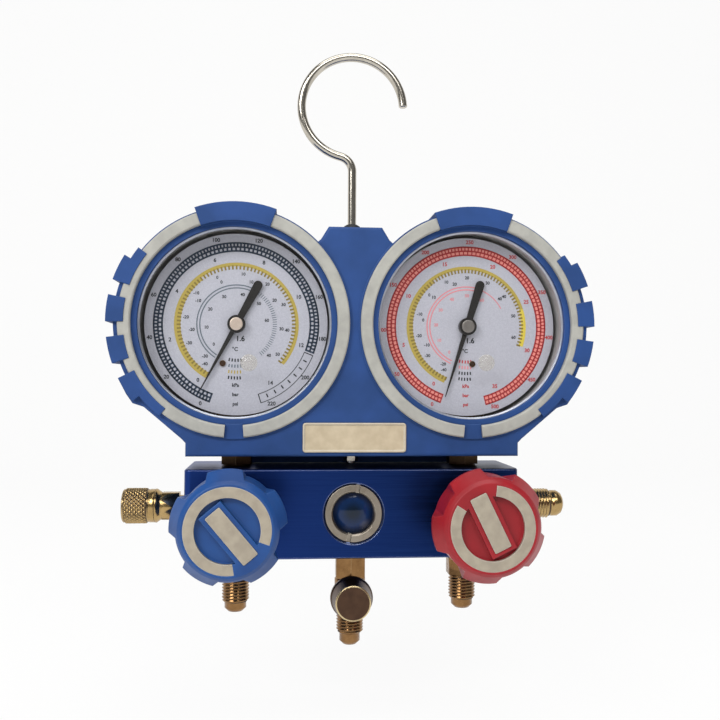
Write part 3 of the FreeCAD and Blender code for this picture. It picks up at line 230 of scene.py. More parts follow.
def machinedMetal(name, look, stretch):
    # Turned and left bare: fine tool rings across the axis, tarnish in patches, bright corners.
    material, tree, shader = startMaterial(name, Metallic=1.0)
    rings = grain(tree, look["line"], stretch, detail=2, rough=0.6)
    least, most = turnedLook["stains"]
    stain = addNode(tree, "ShaderNodeMapRange", {
        "Value": grain(tree, look["stain"], detail=4, rough=0.6), "From Min": least,
        "From Max": most, "To Max": look["tarnish"]}, 0)
    edge, soft = edgeWear(tree, turnedLook["round"])
    tone = addNode(tree, "ShaderNodeMix", {
        0: stain, 6: linear(look["base"]), 7: linear(look["dull"])}, 2, data_type="RGBA")
    tone = rubEdges(tree, tone, edge, look["wear"], look["bright"])
    least, most = turnedLook["rings"]
    gloss = addNode(tree, "ShaderNodeMapRange", {
        "Value": rings, "From Min": least, "From Max": most, "To Min": look["rough"],
        "To Max": look["rough"] + turnedLook["rougher"]}, 0)
    workSurface(tree, shader, tone, gloss, rings, soft, look["bump"], turnedLook["deep"])
    return material


def anodisedAluminium(name, look):
    # Extruded bar brushed along its length, then dyed: long fine lines under a blue that darkens
    # towards the +X end as painted shade, and pale bare corners.
    material, tree, shader = startMaterial(name, Metallic=1.0)
    streak = grain(tree, look["line"], look["drawn"], detail=3, rough=0.7)
    edge, soft = edgeWear(tree, look["round"])
    along = addNode(tree, "ShaderNodeSeparateXYZ", (
        addNode(tree, "ShaderNodeTexCoord", take="Object"),), 0)
    # Painted shade: the blue darkens from the -X end to the +X end, standing in for the shade over
    # that end.
    shadeRamp = addNode(tree, "ShaderNodeMapRange", {
        "Value": along, "From Min": -look["half"] * mm, "From Max": look["half"] * mm}, 0)
    blueWithShade = addNode(tree, "ShaderNodeMix", {
        0: shadeRamp, 6: linear(look["base"]), 7: linear(look["deep"])}, 2, data_type="RGBA")
    least, most = look["paleLines"]
    fine = addNode(tree, "ShaderNodeMapRange", {
        "Value": streak, "From Min": least, "From Max": most, "To Max": look["brush"]}, 0)
    tone = addNode(tree, "ShaderNodeMix", {0: fine, 6: blueWithShade, 7: linear(look["pale"])}, 2,
                   data_type="RGBA")
    tone = rubEdges(tree, tone, edge, look["wear"], look["edge"])
    least, most = look["lines"]
    smooth, rough = look["gloss"]
    gloss = addNode(tree, "ShaderNodeMapRange", {
        "Value": streak, "From Min": least, "From Max": most, "To Min": smooth, "To Max": rough}, 0)
    workSurface(tree, shader, tone, gloss, streak, soft, look["bump"], look["lineDeep"])
    return material


coatLook = {"specks": (0.35, 0.65), "bump": 0.1, "deep": 0.005}


def paintedFace(name, look):
    # Paint, ink or pressed rubber: an even coat with a slight tooth, and a faint speckle where it
    # has a second shade.
    material, tree, shader = startMaterial(name, Roughness=look["rough"])
    least, most = coatLook["specks"]
    dust = addNode(tree, "ShaderNodeMapRange", {
        "Value": grain(tree, look["speck"]), "From Min": least, "From Max": most}, 0)
    shader.inputs["Base Color"].default_value = linear(look["base"])
    if "shade" in look:
        tone = addNode(tree, "ShaderNodeMix", {
            0: dust, 6: linear(look["base"]), 7: linear(look["shade"])}, 2, data_type="RGBA")
        tree.links.new(tone, shader.inputs["Base Color"])
    bump = addNode(tree, "ShaderNodeBump", {
        "Height": dust, "Strength": coatLook["bump"], "Distance": coatLook["deep"] * mm}, 0)
    tree.links.new(bump, shader.inputs["Normal"])
    return material


def clearPlastic(name, look):
    # Cast sheet: sight goes straight through, the front mirrors a little, and haze adds milk.
    material = bpy.data.materials.new(name)
    material.use_nodes = True
    tree = material.node_tree
    tree.nodes.clear()
    through = addNode(tree, "ShaderNodeBsdfTransparent", {"Color": linear(look["tint"])}, 0)
    gloss = addNode(tree, "ShaderNodeBsdfGlossy", {
        "Color": (1, 1, 1, 1), "Roughness": look["rough"]}, 0)
    # Schlick's curve, which is the same from both faces of the sheet.
    lean = addNode(tree, "ShaderNodeLayerWeight", {"Blend": 0.5}, "Facing")
    share = addNode(tree, "ShaderNodeMapRange", {
        "Value": addNode(tree, "ShaderNodeMath", (lean, 5.0), 0, operation="POWER"),
        "To Min": look["mirror"], "To Max": 1.0}, 0)
    surface = addNode(tree, "ShaderNodeMixShader", (share, through, gloss), 0)
    if "haze" in look:
        milk = addNode(tree, "ShaderNodeBsdfDiffuse", {"Color": linear(look["milk"])}, 0)
        surface = addNode(tree, "ShaderNodeMixShader", (look["haze"], surface, milk), 0)
    addNode(tree, "ShaderNodeOutputMaterial", {"Surface": surface})
    return material


def dyedGlass(name, look, centre):
    # Fused glass over a dark well: a paler blue ring round a nearly black middle. The glass is
    # opaque, so the black middle is painted shade of the well.
    material, tree, shader = startMaterial(name, Roughness=look["rough"])
    shader.inputs["Specular IOR Level"].default_value = look["sheen"]
    place = addNode(tree, "ShaderNodeTexCoord", take="Object")
    away = addNode(tree, "ShaderNodeVectorMath", (place, centre), 0, operation="SUBTRACT")
    reach = addNode(tree, "ShaderNodeVectorMath", (away,), "Value", operation="LENGTH")
    share = addNode(tree, "ShaderNodeMath", (reach, look["radius"] * mm), 0, operation="DIVIDE")
    ramp = addNode(tree, "ShaderNodeValToRGB", (share,))
    stops = ramp.color_ramp.elements
    while len(stops) < len(look["stops"]):
        stops.new(0.5)
    for stop, (position, code) in zip(stops, look["stops"]):
        stop.position = position
        stop.color = linear(code)
    tree.links.new(ramp.outputs[0], shader.inputs["Base Color"])
    return material


glowLook = {"worn": "#DAD6CC", "round": 0.35, "wear": 0.45, "cloud": 5, "grain": 0.2, "rough": 0.5,
            "bump": 0.2, "sheen": 0.4}
knobLook = {"round": 0.7, "wear": 0.35, "cloud": 12, "grain": 0.25, "rough": 0.4, "bump": 0.25,
            "sheen": 0.4}
plasticLooks = {
    # TPR rubber boot: dull and slightly soft, so highlights spread wide and edges go chalky.
    "mouldedBlueRubber": {"base": "#204684", "shade": "#1B3E75", "worn": "#436AA6", "round": 0.5,
                          "wear": 0.4, "cloud": 16, "grain": 0.28, "rough": 0.6, "bump": 0.35,
                          "sheen": 0.35},
    # Photoluminescent PVC: waxy greyish cream, a little clouded, with pale edges.
    "mouldedGlowPlastic": dict(glowLook, base="#ABAAA3", shade="#9E9D97", worn="#CDCECB"),
    # The same plastic, yellower where it is thick, and duller where fingers rub it.
    "mouldedGlowPlate": dict(glowLook, base="#C6B79C", shade="#B8A88D", round=0.9, wear=0.9),
    "mouldedGlowInlay": dict(glowLook, base="#A59B8A", shade="#978D7E", worn="#C9C5BB", cloud=4,
                             round=0.6, wear=0.8),
    # ABS knobs: harder than the boot, with a tighter sheen.
    "mouldedBlueKnob": dict(knobLook, base="#184888", shade="#153F7B", worn="#4478B8"),
    "mouldedRedKnob": dict(knobLook, base="#9B1721", shade="#89131C", worn="#CC4250"),
}
brassLook = {"base": "#936F48", "dull": "#5A3C1F", "bright": "#EFDAB0", "line": 0.09, "stain": 5.0,
             "tarnish": 0.55, "wear": 0.6, "rough": 0.16, "bump": 0.25}
paleBrass = dict(brassLook, base="#BC9F6C", dull="#7A5F38", bright="#F6EACC", tarnish=0.4)
steelLook = {"base": "#C4BDB1", "dull": "#8F877B", "bright": "#E9E6DF", "line": 0.1, "stain": 3.0,
             "tarnish": 0.4, "wear": 0.3, "rough": 0.12, "bump": 0.12}
metalLooks = {
    # Free-cutting brass, one finish for each way the work turned in the lathe.
    # The hose ends under the block are darker and browner than the two fittings at the sides.
    "turnedBrassUpright": (brassLook, (0.06, 0.06, 1)),
    "turnedBrassAcross": (paleBrass, (1, 0.06, 0.06)),
    "turnedBrassFacing": (brassLook, (0.3, 1, 0.3)),
    # Gauge sockets coloured dark brown: painted shade of the gap under the boot's overhang.
    "socketBrassGapShade": (dict(brassLook, base="#4E3C2A", dull="#2A2018", bright="#C9AE82",
                               rough=0.3), (0.06, 0.06, 1)),
    # A brass cap gone brown with handling.
    "agedBrassCap": (dict(brassLook, base="#5C4638", dull="#40302A", bright="#F0DCB4", rough=0.3,
                          wear=1.0), (0.4, 1, 0.4)),
    # The bead round its face: rubbed bright, and pale all round as a painted highlight.
    "beadHighlightAndWear": (dict(paleBrass, base="#DCC79A", rough=0.2), (1, 1, 1)),
    # The ring round the window: dulled on its flat, bright where both its rims are broken.
    "turnedSightRing": (dict(brassLook, base="#A1978A", dull="#786D5E", bright="#F6EEDA",
                             rough=0.24, wear=1.0), (0.5, 1, 0.5)),
    # The low hub, faced on the lathe and lacquered: pale and pinkish.
    "lacqueredHubBrass": (dict(brassLook, base="#F8E6D6", dull="#D9C0A8", bright="#FFF4E6",
                               rough=0.34), (0.5, 1, 0.5)),
    # Steel wire bent cold and nickel plated: a bright streak between dark flanks.
    "nickelPlatedWire": (dict(steelLook, base="#CAC4B8", dull="#9A9286", line=0.4, bump=0.04,
                              wear=0.0), (1, 1, 0.3)),
    # Chromed brass bezel, satin inside where the window sits; its cool blue tint is a painted
    # reflection of the blue boot.
    "satinChromeBlueReflection": (dict(steelLook, base="#C8CCD6", dull="#A8ADB9", rough=0.34, bump=0.05),
                         (1, 0.3, 1)),
    # Zinc-plated steel of the screws and the high hub: grey and silky.
    "zincPlatedSteel": (dict(steelLook, base="#AEA8A2", dull="#8B8680", bright="#CFCAC4",
                             rough=0.3), (0.4, 1, 0.4)),
}
paintLooks = {
    # Stove enamel inside and out of the gauge case: pale grey, so the dial's rim stays light.
    "stovedGreyEnamel": {"base": "#B9B8B7", "shade": "#B1B0B0", "rough": 0.38, "speck": 3.0},
    # Enamelled sheet of the dial: an even cold grey white with hardly any shine.
    "enamelledDial": {"base": "#BDBEC8", "shade": "#B4B5C0", "rough": 0.42, "speck": 0.6},
    # Sprayed paint of the needle: a warm black.
    "blackNeedlePaint": {"base": "#120F0C", "shade": "#1C1814", "rough": 0.4, "speck": 0.3},
    # Nitrile rubber of the seals and the hook's bush: dull charcoal.
    "pressedBlackRubber": {"base": "#17181A", "shade": "#232427", "rough": 0.6, "speck": 0.4},
    # Nylon of the seat discs: waxy off-white.
    "turnedWhiteNylon": {"base": "#D8D4C8", "shade": "#C9C4B6", "rough": 0.5, "speck": 0.6},
    # Dark brown laid into the bottoms of knurling and threads: painted shade of the grooves,
    # together with the oil and dust that pack there.
    "grooveShadeAndGrime": {"base": "#55402A", "shade": "#453321", "rough": 0.6, "speck": 0.4},
}
# Screen-printed ink, a flat film on the enamel.
inkLooks = {"black": "#151B22", "slate": "#2C3D52", "olive": "#B5A046", "darkOlive": "#867430",
            "yellow": "#DBC545", "red": "#BE3233", "salmon": "#EC9186", "pink": "#DE8A90",
            "grey": "#66717C"}
clearLooks = {
    # Clear acrylic of the gauge windows: hardly there, with a faint mirror.
    "castLensPlastic": {"tint": "#FFFFFF", "mirror": 0.03, "rough": 0.03},
    # Soft PVC of the plugs: frosted, so the dial behind it goes milky.
    "frostedPlugPlastic": {"tint": "#F6F5F2", "mirror": 0.04, "rough": 0.15, "haze": 0.22,
                           "milk": "#CFCBC4"},
}
# deep is the painted shade that the blue darkens to at the block's +X end.
blockLook = {"base": "#213C80", "deep": "#0D1E45", "pale": "#2D4C94", "edge": "#AEBBE0",
             "line": 0.3, "drawn": (0.012, 1, 1), "lines": (0.3, 0.7), "paleLines": (0.35, 0.7),
             "brush": 0.25, "gloss": (0.28, 0.44), "bump": 0.25, "lineDeep": 0.01, "round": 0.55,
             "wear": 1.0, "half": 67}
# The stops fall to a nearly black middle: painted shade of the well behind the glass.
windowLook = {"radius": 9.5, "rough": 0.1, "sheen": 0.35,
              "stops": [(0.0, "#081416"), (0.3, "#0A1B30"), (0.6, "#0F2B57"),
                        (0.82, "#0C1E3D"), (0.95, "#04070C")]}

finishes = {"anodisedBlockAluminium": anodisedAluminium("anodisedBlockAluminium", blockLook)}
for name, look in plasticLooks.items():
    finishes[name] = mouldedPlastic(name, look)
for name, (look, stretch) in metalLooks.items():
    finishes[name] = machinedMetal(name, look, stretch)
for name, look in paintLooks.items():
    finishes[name] = paintedFace(name, look)
for name, code in inkLooks.items():
    finishes[name] = paintedFace(name + "DialInk", {"base": code, "rough": 0.5, "speck": 0.3})
for name, look in clearLooks.items():
    finishes[name] = clearPlastic(name, look)
windowCentre = frontCentre("sight_glass")
finishes["blueSightGlassWellShade"] = dyedGlass("blueSightGlassWellShade", windowLook, windowCentre)
print("finishes ready:", len(finishes))

nodeFinish = {
    "manifold_block": "anodisedBlockAluminium", "gauge_boot": "mouldedBlueRubber",
    "nameplate": "mouldedGlowPlate", "sight_ring": "turnedSightRing",
    "sight_glass": "blueSightGlassWellShade", "sight_seal": "pressedBlackRubber",
    "charge_nipple": "turnedBrassUpright", "charge_tee": "turnedBrassUpright",
    "tee_cap": "agedBrassCap", "tee_gasket": "pressedBlackRubber",
    "side_port": "turnedBrassAcross", "side_cap": "turnedBrassAcross",
    "side_gasket": "pressedBlackRubber", "parking_stud": "turnedBrassAcross",
    "hook": "nickelPlatedWire", "hook_nut": "nickelPlatedWire", "hook_bush": "pressedBlackRubber",
    "zero_screws": "agedBrassCap", "low_knob": "mouldedBlueKnob", "high_knob": "mouldedRedKnob",
    "low_arbor": "lacqueredHubBrass", "high_arbor": "zincPlatedSteel",
}
pairFinish = {
    "glow_ring": "mouldedGlowPlastic", "gauge_case": "stovedGreyEnamel",
    "bezel": "satinChromeBlueReflection", "lens": "castLensPlastic", "dial": "enamelledDial",
    "needle": "blackNeedlePaint", "sector": "turnedBrassFacing", "link": "turnedBrassFacing",
    "movement": "turnedBrassFacing", "bourdon_tube": "turnedBrassFacing",
    "socket": "socketBrassGapShade", "bonnet": "turnedBrassFacing", "stem": "turnedBrassFacing",
    "stem_oring": "pressedBlackRubber", "valve_disc": "turnedWhiteNylon",
    "knob_ring": "mouldedGlowInlay", "knob_label": "mouldedGlowInlay",
    "knob_screw": "zincPlatedSteel", "port": "turnedBrassUpright",
}
for side in ("low", "high"):
    nodeFinish.update({side + "_" + part: finish for part, finish in pairFinish.items()})
for name, finish in nodeFinish.items():
    for item in parts[name].material_slots:
        item.material = finishes[finish]
print("nodes dressed:", len(nodeFinish), "left:", sorted(set(parts) - set(nodeFinish)))


sleeveSockets = [("Start", "Float", 0.0), ("End", "Float", 0.01), ("Crest", "Float", 0.0056),
                 ("Inside", "Float", 0.004), ("Around", "Int", 72), ("Rows", "Int", 40),
                 ("Metal", "Material", None)]
closingRows = 3  # one before the outside and two after it


def polarPlace(tree, reach, angle):
    # The two coordinates of a place at this reach and this angle in radians.
    return [addNode(tree, "ShaderNodeMath", (
        reach, addNode(tree, "ShaderNodeMath", (angle,), 0, operation=operation)), 0,
        operation="MULTIPLY") for operation in ("COSINE", "SINE")]


def sleeveRows(tree, given):
    # A flat grid for a closed sleeve, one unit each way about its middle. Rows 0 and up are the
    # outside. The closing rows run back through the metal, and the last lies on the first.
    grid = addNode(tree, "GeometryNodeMeshGrid", {
        "Size X": 1.0, "Size Y": 1.0, "Vertices X": given["Around"],
        "Vertices Y": given["Rows"]}, 0)
    place = addNode(tree, "GeometryNodeInputPosition", take=0)
    spot = addNode(tree, "ShaderNodeSeparateXYZ", (place,))
    share = addNode(tree, "ShaderNodeMath", (spot.outputs[0], 0.5), 0, operation="ADD")
    up = addNode(tree, "ShaderNodeMath", (spot.outputs[1], 0.5), 0, operation="ADD")
    last = addNode(tree, "ShaderNodeMath", (given["Rows"], 1.0), 0, operation="SUBTRACT")
    row = addNode(tree, "ShaderNodeMath", (up, last, -1.0), 0, operation="MULTIPLY_ADD")
    row = addNode(tree, "ShaderNodeMath", (row,), 0, operation="ROUND")
    return grid, share, row


def closeSleeve(tree, given, grid, share, row, height, radius):
    # Wraps the grid round Z. Rows are told apart at the half between two whole numbers.
    below = addNode(tree, "ShaderNodeMath", (row, -0.5), 0, operation="GREATER_THAN")
    outer = addNode(tree, "ShaderNodeMath", (given["Rows"], closingRows + 0.5), 0,
                    operation="SUBTRACT")
    above = addNode(tree, "ShaderNodeMath", (row, outer), 0, operation="LESS_THAN")
    outside = addNode(tree, "ShaderNodeMath", (below, above), 0, operation="MULTIPLY")
    radius = addNode(tree, "ShaderNodeMix", {0: outside, 2: given["Inside"], 3: radius}, 0)
    final = addNode(tree, "ShaderNodeMath", (given["Rows"], closingRows - 0.5), 0,
                    operation="SUBTRACT")
    back = addNode(tree, "ShaderNodeMath", (row, final), 0, operation="GREATER_THAN")
    height = addNode(tree, "ShaderNodeMix", {0: back, 2: height, 3: given["Start"]}, 0)
    angle = addNode(tree, "ShaderNodeMath", (share, 2 * math.pi), 0, operation="MULTIPLY")
    spot = addNode(tree, "ShaderNodeCombineXYZ", (*polarPlace(tree, radius, angle), height), 0)
    wrapped = addNode(tree, "GeometryNodeSetPosition", {0: grid, "Position": spot}, 0)
    welded = addNode(tree, "GeometryNodeMergeByDistance", {0: wrapped, "Distance": 0.001 * mm}, 0)
    closeTree(tree, welded, given["Metal"])


def threadTree():
    # Four rows to each turn follow the helix: two along the root and two along the crest, an
    # eighth of a pitch apart, with a flank between each pair.
    tree, given = newGeometryTree("cutThread", sleeveSockets + [
        ("Pitch", "Float", 0.00127), ("Root", "Float", 0.0048)])
    grid, share, row = sleeveRows(tree, given)
    half = addNode(tree, "ShaderNodeMath", (row, 0.5), 0, operation="MULTIPLY")
    half = addNode(tree, "ShaderNodeMath", (half,), 0, operation="FLOOR")
    odd = addNode(tree, "ShaderNodeMath", (half, -2.0, row), 0, operation="MULTIPLY_ADD")
    turns = addNode(tree, "ShaderNodeMath", (half, 0.5, share), 0, operation="MULTIPLY_ADD")
    turns = addNode(tree, "ShaderNodeMath", (odd, 0.125, turns), 0, operation="MULTIPLY_ADD")
    turns = addNode(tree, "ShaderNodeMath", (turns, 1.0), 0, operation="SUBTRACT")
    height = addNode(tree, "ShaderNodeMath", (turns, given["Pitch"], given["Start"]), 0,
                     operation="MULTIPLY_ADD")
    height = addNode(tree, "ShaderNodeClamp", (height, given["Start"], given["End"]), 0)
    crest = addNode(tree, "ShaderNodeMath", (half, 2.0), 0, operation="FLOORED_MODULO")
    radius = addNode(tree, "ShaderNodeMix", {0: crest, 2: given["Root"], 3: given["Crest"]}, 0)
    for far, near in ((height, given["Start"]), (given["End"], height)):  # lead-in at each end
        ramp = addNode(tree, "ShaderNodeMath", (far, near), 0, operation="SUBTRACT")
        ramp = addNode(tree, "ShaderNodeMath", (ramp, given["Root"]), 0, operation="ADD")
        radius = addNode(tree, "ShaderNodeMath", (radius, ramp), 0, operation="MINIMUM")
    closeSleeve(tree, given, grid, share, row, height, radius)
    return tree


def knurlTree():
    # Two crossed sets of spiral grooves leave a diamond between each four crossings.
    tree, given = newGeometryTree("diamondKnurl", sleeveSockets + [
        ("Depth", "Float", 0.0003), ("Teeth", "Float", 36.0), ("Climb", "Float", 770.0)])
    grid, share, row = sleeveRows(tree, given)
    last = addNode(tree, "ShaderNodeMath", (given["Rows"], closingRows + 1.0), 0,
                   operation="SUBTRACT")
    height = addNode(tree, "ShaderNodeMapRange", {
        "Value": row, "From Max": last, "To Min": given["Start"], "To Max": given["End"]}, 0)
    along = addNode(tree, "ShaderNodeMath", (height, given["Climb"]), 0, operation="MULTIPLY")
    around = addNode(tree, "ShaderNodeMath", (share, given["Teeth"]), 0, operation="MULTIPLY")
    grooves = []
    for operation in ("ADD", "SUBTRACT"):
        phase = addNode(tree, "ShaderNodeMath", (around, along), 0, operation=operation)
        phase = addNode(tree, "ShaderNodeMath", (phase, 0.5), 0, operation="PINGPONG")
        # 0 in the bottom of a groove and 0.5 midway between two; its sides reach up to 0.25
        grooves.append(phase)
    nearest = addNode(tree, "ShaderNodeMath", grooves, 0, operation="MINIMUM")
    cut = addNode(tree, "ShaderNodeMapRange", {
        "Value": nearest, "From Max": 0.25, "To Min": given["Depth"], "To Max": 0.0}, 0)
    for far, near in ((height, given["Start"]), (given["End"], height)):  # ends drop to the root
        ramp = addNode(tree, "ShaderNodeMath", (far, near), 0, operation="SUBTRACT")
        ramp = addNode(tree, "ShaderNodeMath", (given["Depth"], ramp), 0, operation="SUBTRACT")
        cut = addNode(tree, "ShaderNodeMath", (cut, ramp), 0, operation="MAXIMUM")
    radius = addNode(tree, "ShaderNodeMath", (given["Crest"], cut), 0, operation="SUBTRACT")
    closeSleeve(tree, given, grid, share, row, height, radius)
    return tree


def copyNode(name):
    # The frame's meshes are loose triangles, so the copy is welded.
    made = bmesh.new()
    made.from_mesh(parts[name].data)
    bmesh.ops.remove_doubles(made, verts=made.verts, dist=0.001 * mm)
    return made


def sinkZone(made, origin, axis, start, end, crest, root, slack=0.05):
    # Turns the plain cylinder down to the root, to make room for the cut sleeve.
    for vert in made.verts:
        away = vert.co - origin
        along = away.dot(axis)
        reach = away - axis * along
        inZone = start - slack < along / mm < end + slack
        if inZone and root < reach.length / mm < crest + slack:
            vert.co -= reach * (1 - root * mm / reach.length)


def asMesh(made, name):
    mesh = bpy.data.meshes.new(name)
    made.to_mesh(mesh)
    made.free()
    mesh.materials.append(finishes[nodeFinish[name]])
    return mesh


def packGrime(mesh, radius):
    # Painted shade and dirt in the grooves: each face closer to the sleeve's axis than this takes
    # the dark groove colour.
    mesh.materials.append(finishes["grooveShadeAndGrime"])
    for face in mesh.polygons:
        if math.hypot(face.center.x, face.center.y) / mm < radius:
            face.material_index = len(mesh.materials) - 1


def placeSleeve(mesh, origin, axis):
    turn = Vector((0, 0, 1)).rotation_difference(axis).to_matrix().to_4x4()
    mesh.transform(Matrix.Translation(origin) @ turn)
    return mesh


# Unified fine threads, 20 to the inch. Each start and end is in millimetres from the face of the
# block, or for the branch of the tee from the tee's own axis. The sleeve's root stands proud of
# the cylinder sunk under it, and so hides it.
threadLook = {"pitch": 1.27, "cut": 0.74, "wall": 0.8, "proud": 0.02, "around": 73, "grime": 0.15,
              "flare": 5.556, "stud": 6.35, "portEnds": (10.6, 20.4), "teeEnds": (25.7, 33.8),
              "branchDrop": 17.6, "branchEnds": (6.9, 15.6), "sideEnds": (14.5, 23.5),
              "studEnds": (6.0, 20.5)}
down, out, left, right = (Vector(v) for v in ((0, 0, -1), (0, -1, 0), (-1, 0, 0), (1, 0, 0)))
blockLow, blockHigh = (Vector(corner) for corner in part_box("manifold_block"))


def nodeCentre(name):
    lowest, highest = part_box(name)
    return (Vector(lowest) + Vector(highest)) / 2


def under(name):
    return Vector((nodeCentre(name).x, 0, blockLow.z))


def beside(name, face):
    centre = nodeCentre(name)
    return Vector((face, centre.y, centre.z))


branchStart = under("charge_nipple") + down * threadLook["branchDrop"] * mm
threadCuts = {  # where each thread is measured from, its direction, its ends and its radius
    "low_port": [(under("low_port"), down, "portEnds", "flare")],
    "high_port": [(under("high_port"), down, "portEnds", "flare")],
    "charge_tee": [(under("charge_nipple"), down, "teeEnds", "flare"),
                   (branchStart, out, "branchEnds", "flare")],
    "side_port": [(beside("side_port", blockLow.x), left, "sideEnds", "flare")],
    "parking_stud": [(beside("parking_stud", blockHigh.x), right, "studEnds", "stud")],
}
threadMaker = threadTree()
for name, cuts in threadCuts.items():
    made = copyNode(name)
    sleeves = []
    for origin, axis, ends, size in cuts:
        start, end = threadLook[ends]
        crest = threadLook[size]
        root = crest - threadLook["cut"]
        sinkZone(made, origin, axis, start, end, crest, root)
        turns = math.ceil((end - start) / threadLook["pitch"]) + 2  # one to spare past each end
        sleeve = growMesh(threadMaker, {
            "Start": start * mm, "End": end * mm, "Pitch": threadLook["pitch"] * mm,
            "Crest": crest * mm, "Root": (root + threadLook["proud"]) * mm,
            "Inside": (root - threadLook["wall"]) * mm, "Around": threadLook["around"],
            "Rows": 4 * turns + 1 + closingRows, "Metal": finishes[nodeFinish[name]]})
        packGrime(sleeve, root + threadLook["grime"])
        sleeves.append(placeSleeve(sleeve, origin, axis))
    piece = joinMeshes(name.replace("_", "-") + "-threaded", [asMesh(made, name)] + sleeves)
    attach(piece, "manifold")
    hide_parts(name)
print("threads cut on", len(threadCuts), "fittings")

# A straight-sided diamond knurl, in millimetres from the block's end face.
knurlLook = {"start": 17.55, "end": 27.1, "crest": 7.4, "depth": 0.6, "wall": 0.7, "teeth": 24,
             "steps": 8, "grime": 0.36}
made = copyNode("side_cap")
capAxis = threadCuts["side_port"][0][0]
knurlRoot = knurlLook["crest"] - knurlLook["depth"]
sinkZone(made, capAxis, left, knurlLook["start"], knurlLook["end"], knurlLook["crest"], knurlRoot)
spiral = knurlLook["teeth"] / (2 * math.pi * knurlLook["crest"] * mm)  # grooves at 45 degrees
knurlTurns = round((knurlLook["end"] - knurlLook["start"]) * mm * spiral)
sleeve = growMesh(knurlTree(), {
    "Start": knurlLook["start"] * mm, "End": knurlLook["end"] * mm,
    "Crest": knurlLook["crest"] * mm, "Depth": knurlLook["depth"] * mm,
    "Inside": (knurlRoot - knurlLook["wall"]) * mm, "Teeth": float(knurlLook["teeth"]),
    "Climb": spiral, "Around": knurlLook["steps"] * knurlLook["teeth"] + 1,
    "Rows": knurlLook["steps"] * knurlTurns + 1 + closingRows,
    "Metal": finishes["turnedBrassAcross"]})
packGrime(sleeve, knurlLook["crest"] - knurlLook["grime"])
sideCap = joinMeshes("side-cap-knurled", [asMesh(made, "side_cap"),
                                          placeSleeve(sleeve, capAxis, left)], smooth=25)
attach(sideCap, "side_cap_shell")
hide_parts("side_cap")
print("knurl cut:", len(sideCap.data.polygons), "faces")


inkSockets = [("Centre", "Vector", None), ("First", "Float", 0.0), ("Last", "Float", 90.0),
              ("Inner", "Float", 0.01), ("Outer", "Float", 0.02), ("Thick", "Float", 0.0001),
              ("Ink", "Material", None)]


def bandTree():
    # A bent strip of ink: a cut-up unit cube wrapped round the dial's centre.
    tree, given = newGeometryTree("inkBand", inkSockets + [("Steps", "Int", 24)])
    cube = addNode(tree, "GeometryNodeMeshCube", {
        "Size": (1, 1, 1), "Vertices X": given["Steps"], "Vertices Y": 2, "Vertices Z": 2}, 0)
    place = addNode(tree, "GeometryNodeInputPosition", take=0)
    spot = addNode(tree, "ShaderNodeSeparateXYZ", (place,))
    turn = addNode(tree, "ShaderNodeMapRange", {
        "Value": spot.outputs[0], "From Min": -0.5, "From Max": 0.5, "To Min": given["Last"],
        "To Max": given["First"]}, 0)
    reach = addNode(tree, "ShaderNodeMapRange", {
        "Value": spot.outputs[2], "From Min": -0.5, "From Max": 0.5, "To Min": given["Inner"],
        "To Max": given["Outer"]}, 0)
    angle = addNode(tree, "ShaderNodeMath", (turn,), 0, operation="RADIANS")
    x, z = polarPlace(tree, reach, angle)
    y = addNode(tree, "ShaderNodeMath", (spot.outputs[1], given["Thick"]), 0, operation="MULTIPLY")
    flat = addNode(tree, "ShaderNodeCombineXYZ", (x, y, z), 0)
    moved = addNode(tree, "ShaderNodeVectorMath", (flat, given["Centre"]), 0)
    wrapped = addNode(tree, "GeometryNodeSetPosition", {0: cube, "Position": moved}, 0)
    closeTree(tree, wrapped, given["Ink"])
    return tree


def tickTree():
    # Short radial marks set evenly from the first angle to the last.
    tree, given = newGeometryTree("inkTicks", inkSockets + [
        ("Wide", "Float", 0.0003), ("Count", "Int", 10)])
    dots = addNode(tree, "GeometryNodePoints", {"Count": given["Count"]}, 0)
    last = addNode(tree, "ShaderNodeMath", (given["Count"], 1.0), 0, operation="SUBTRACT")
    turn = addNode(tree, "ShaderNodeMapRange", {
        "Value": addNode(tree, "GeometryNodeInputIndex", take=0), "From Max": last,
        "To Min": given["First"], "To Max": given["Last"]}, 0)
    angle = addNode(tree, "ShaderNodeMath", (turn,), 0, operation="RADIANS")
    middle = addNode(tree, "ShaderNodeMix", {0: 0.5, 2: given["Inner"], 3: given["Outer"]}, 0)
    x, z = polarPlace(tree, middle, angle)
    flat = addNode(tree, "ShaderNodeCombineXYZ", {0: x, 2: z}, 0)
    moved = addNode(tree, "ShaderNodeVectorMath", (flat, given["Centre"]), 0)
    placed = addNode(tree, "GeometryNodeSetPosition", {0: dots, "Position": moved}, 0)
    long = addNode(tree, "ShaderNodeMath", (given["Outer"], given["Inner"]), 0,
                   operation="SUBTRACT")
    size = addNode(tree, "ShaderNodeCombineXYZ", (long, given["Thick"], given["Wide"]), 0)
    cube = addNode(tree, "GeometryNodeMeshCube", {"Size": size}, 0)
    lean = addNode(tree, "ShaderNodeMath", (angle, -1.0), 0, operation="MULTIPLY")
    turned = addNode(tree, "FunctionNodeEulerToRotation", (
        addNode(tree, "ShaderNodeCombineXYZ", {1: lean}, 0),), 0)
    marks = addNode(tree, "GeometryNodeInstanceOnPoints", {
        "Points": placed, "Instance": cube, "Rotation": turned}, 0)
    closeTree(tree, marks, given["Ink"])
    return tree


bandMaker = bandTree()
tickMaker = tickTree()
inkLook = {"thick": 0.06, "bend": 3, "bold": 0.03, "curves": 3}  # bend: degrees to a straight step
inkHalf = inkLook["thick"] / 2


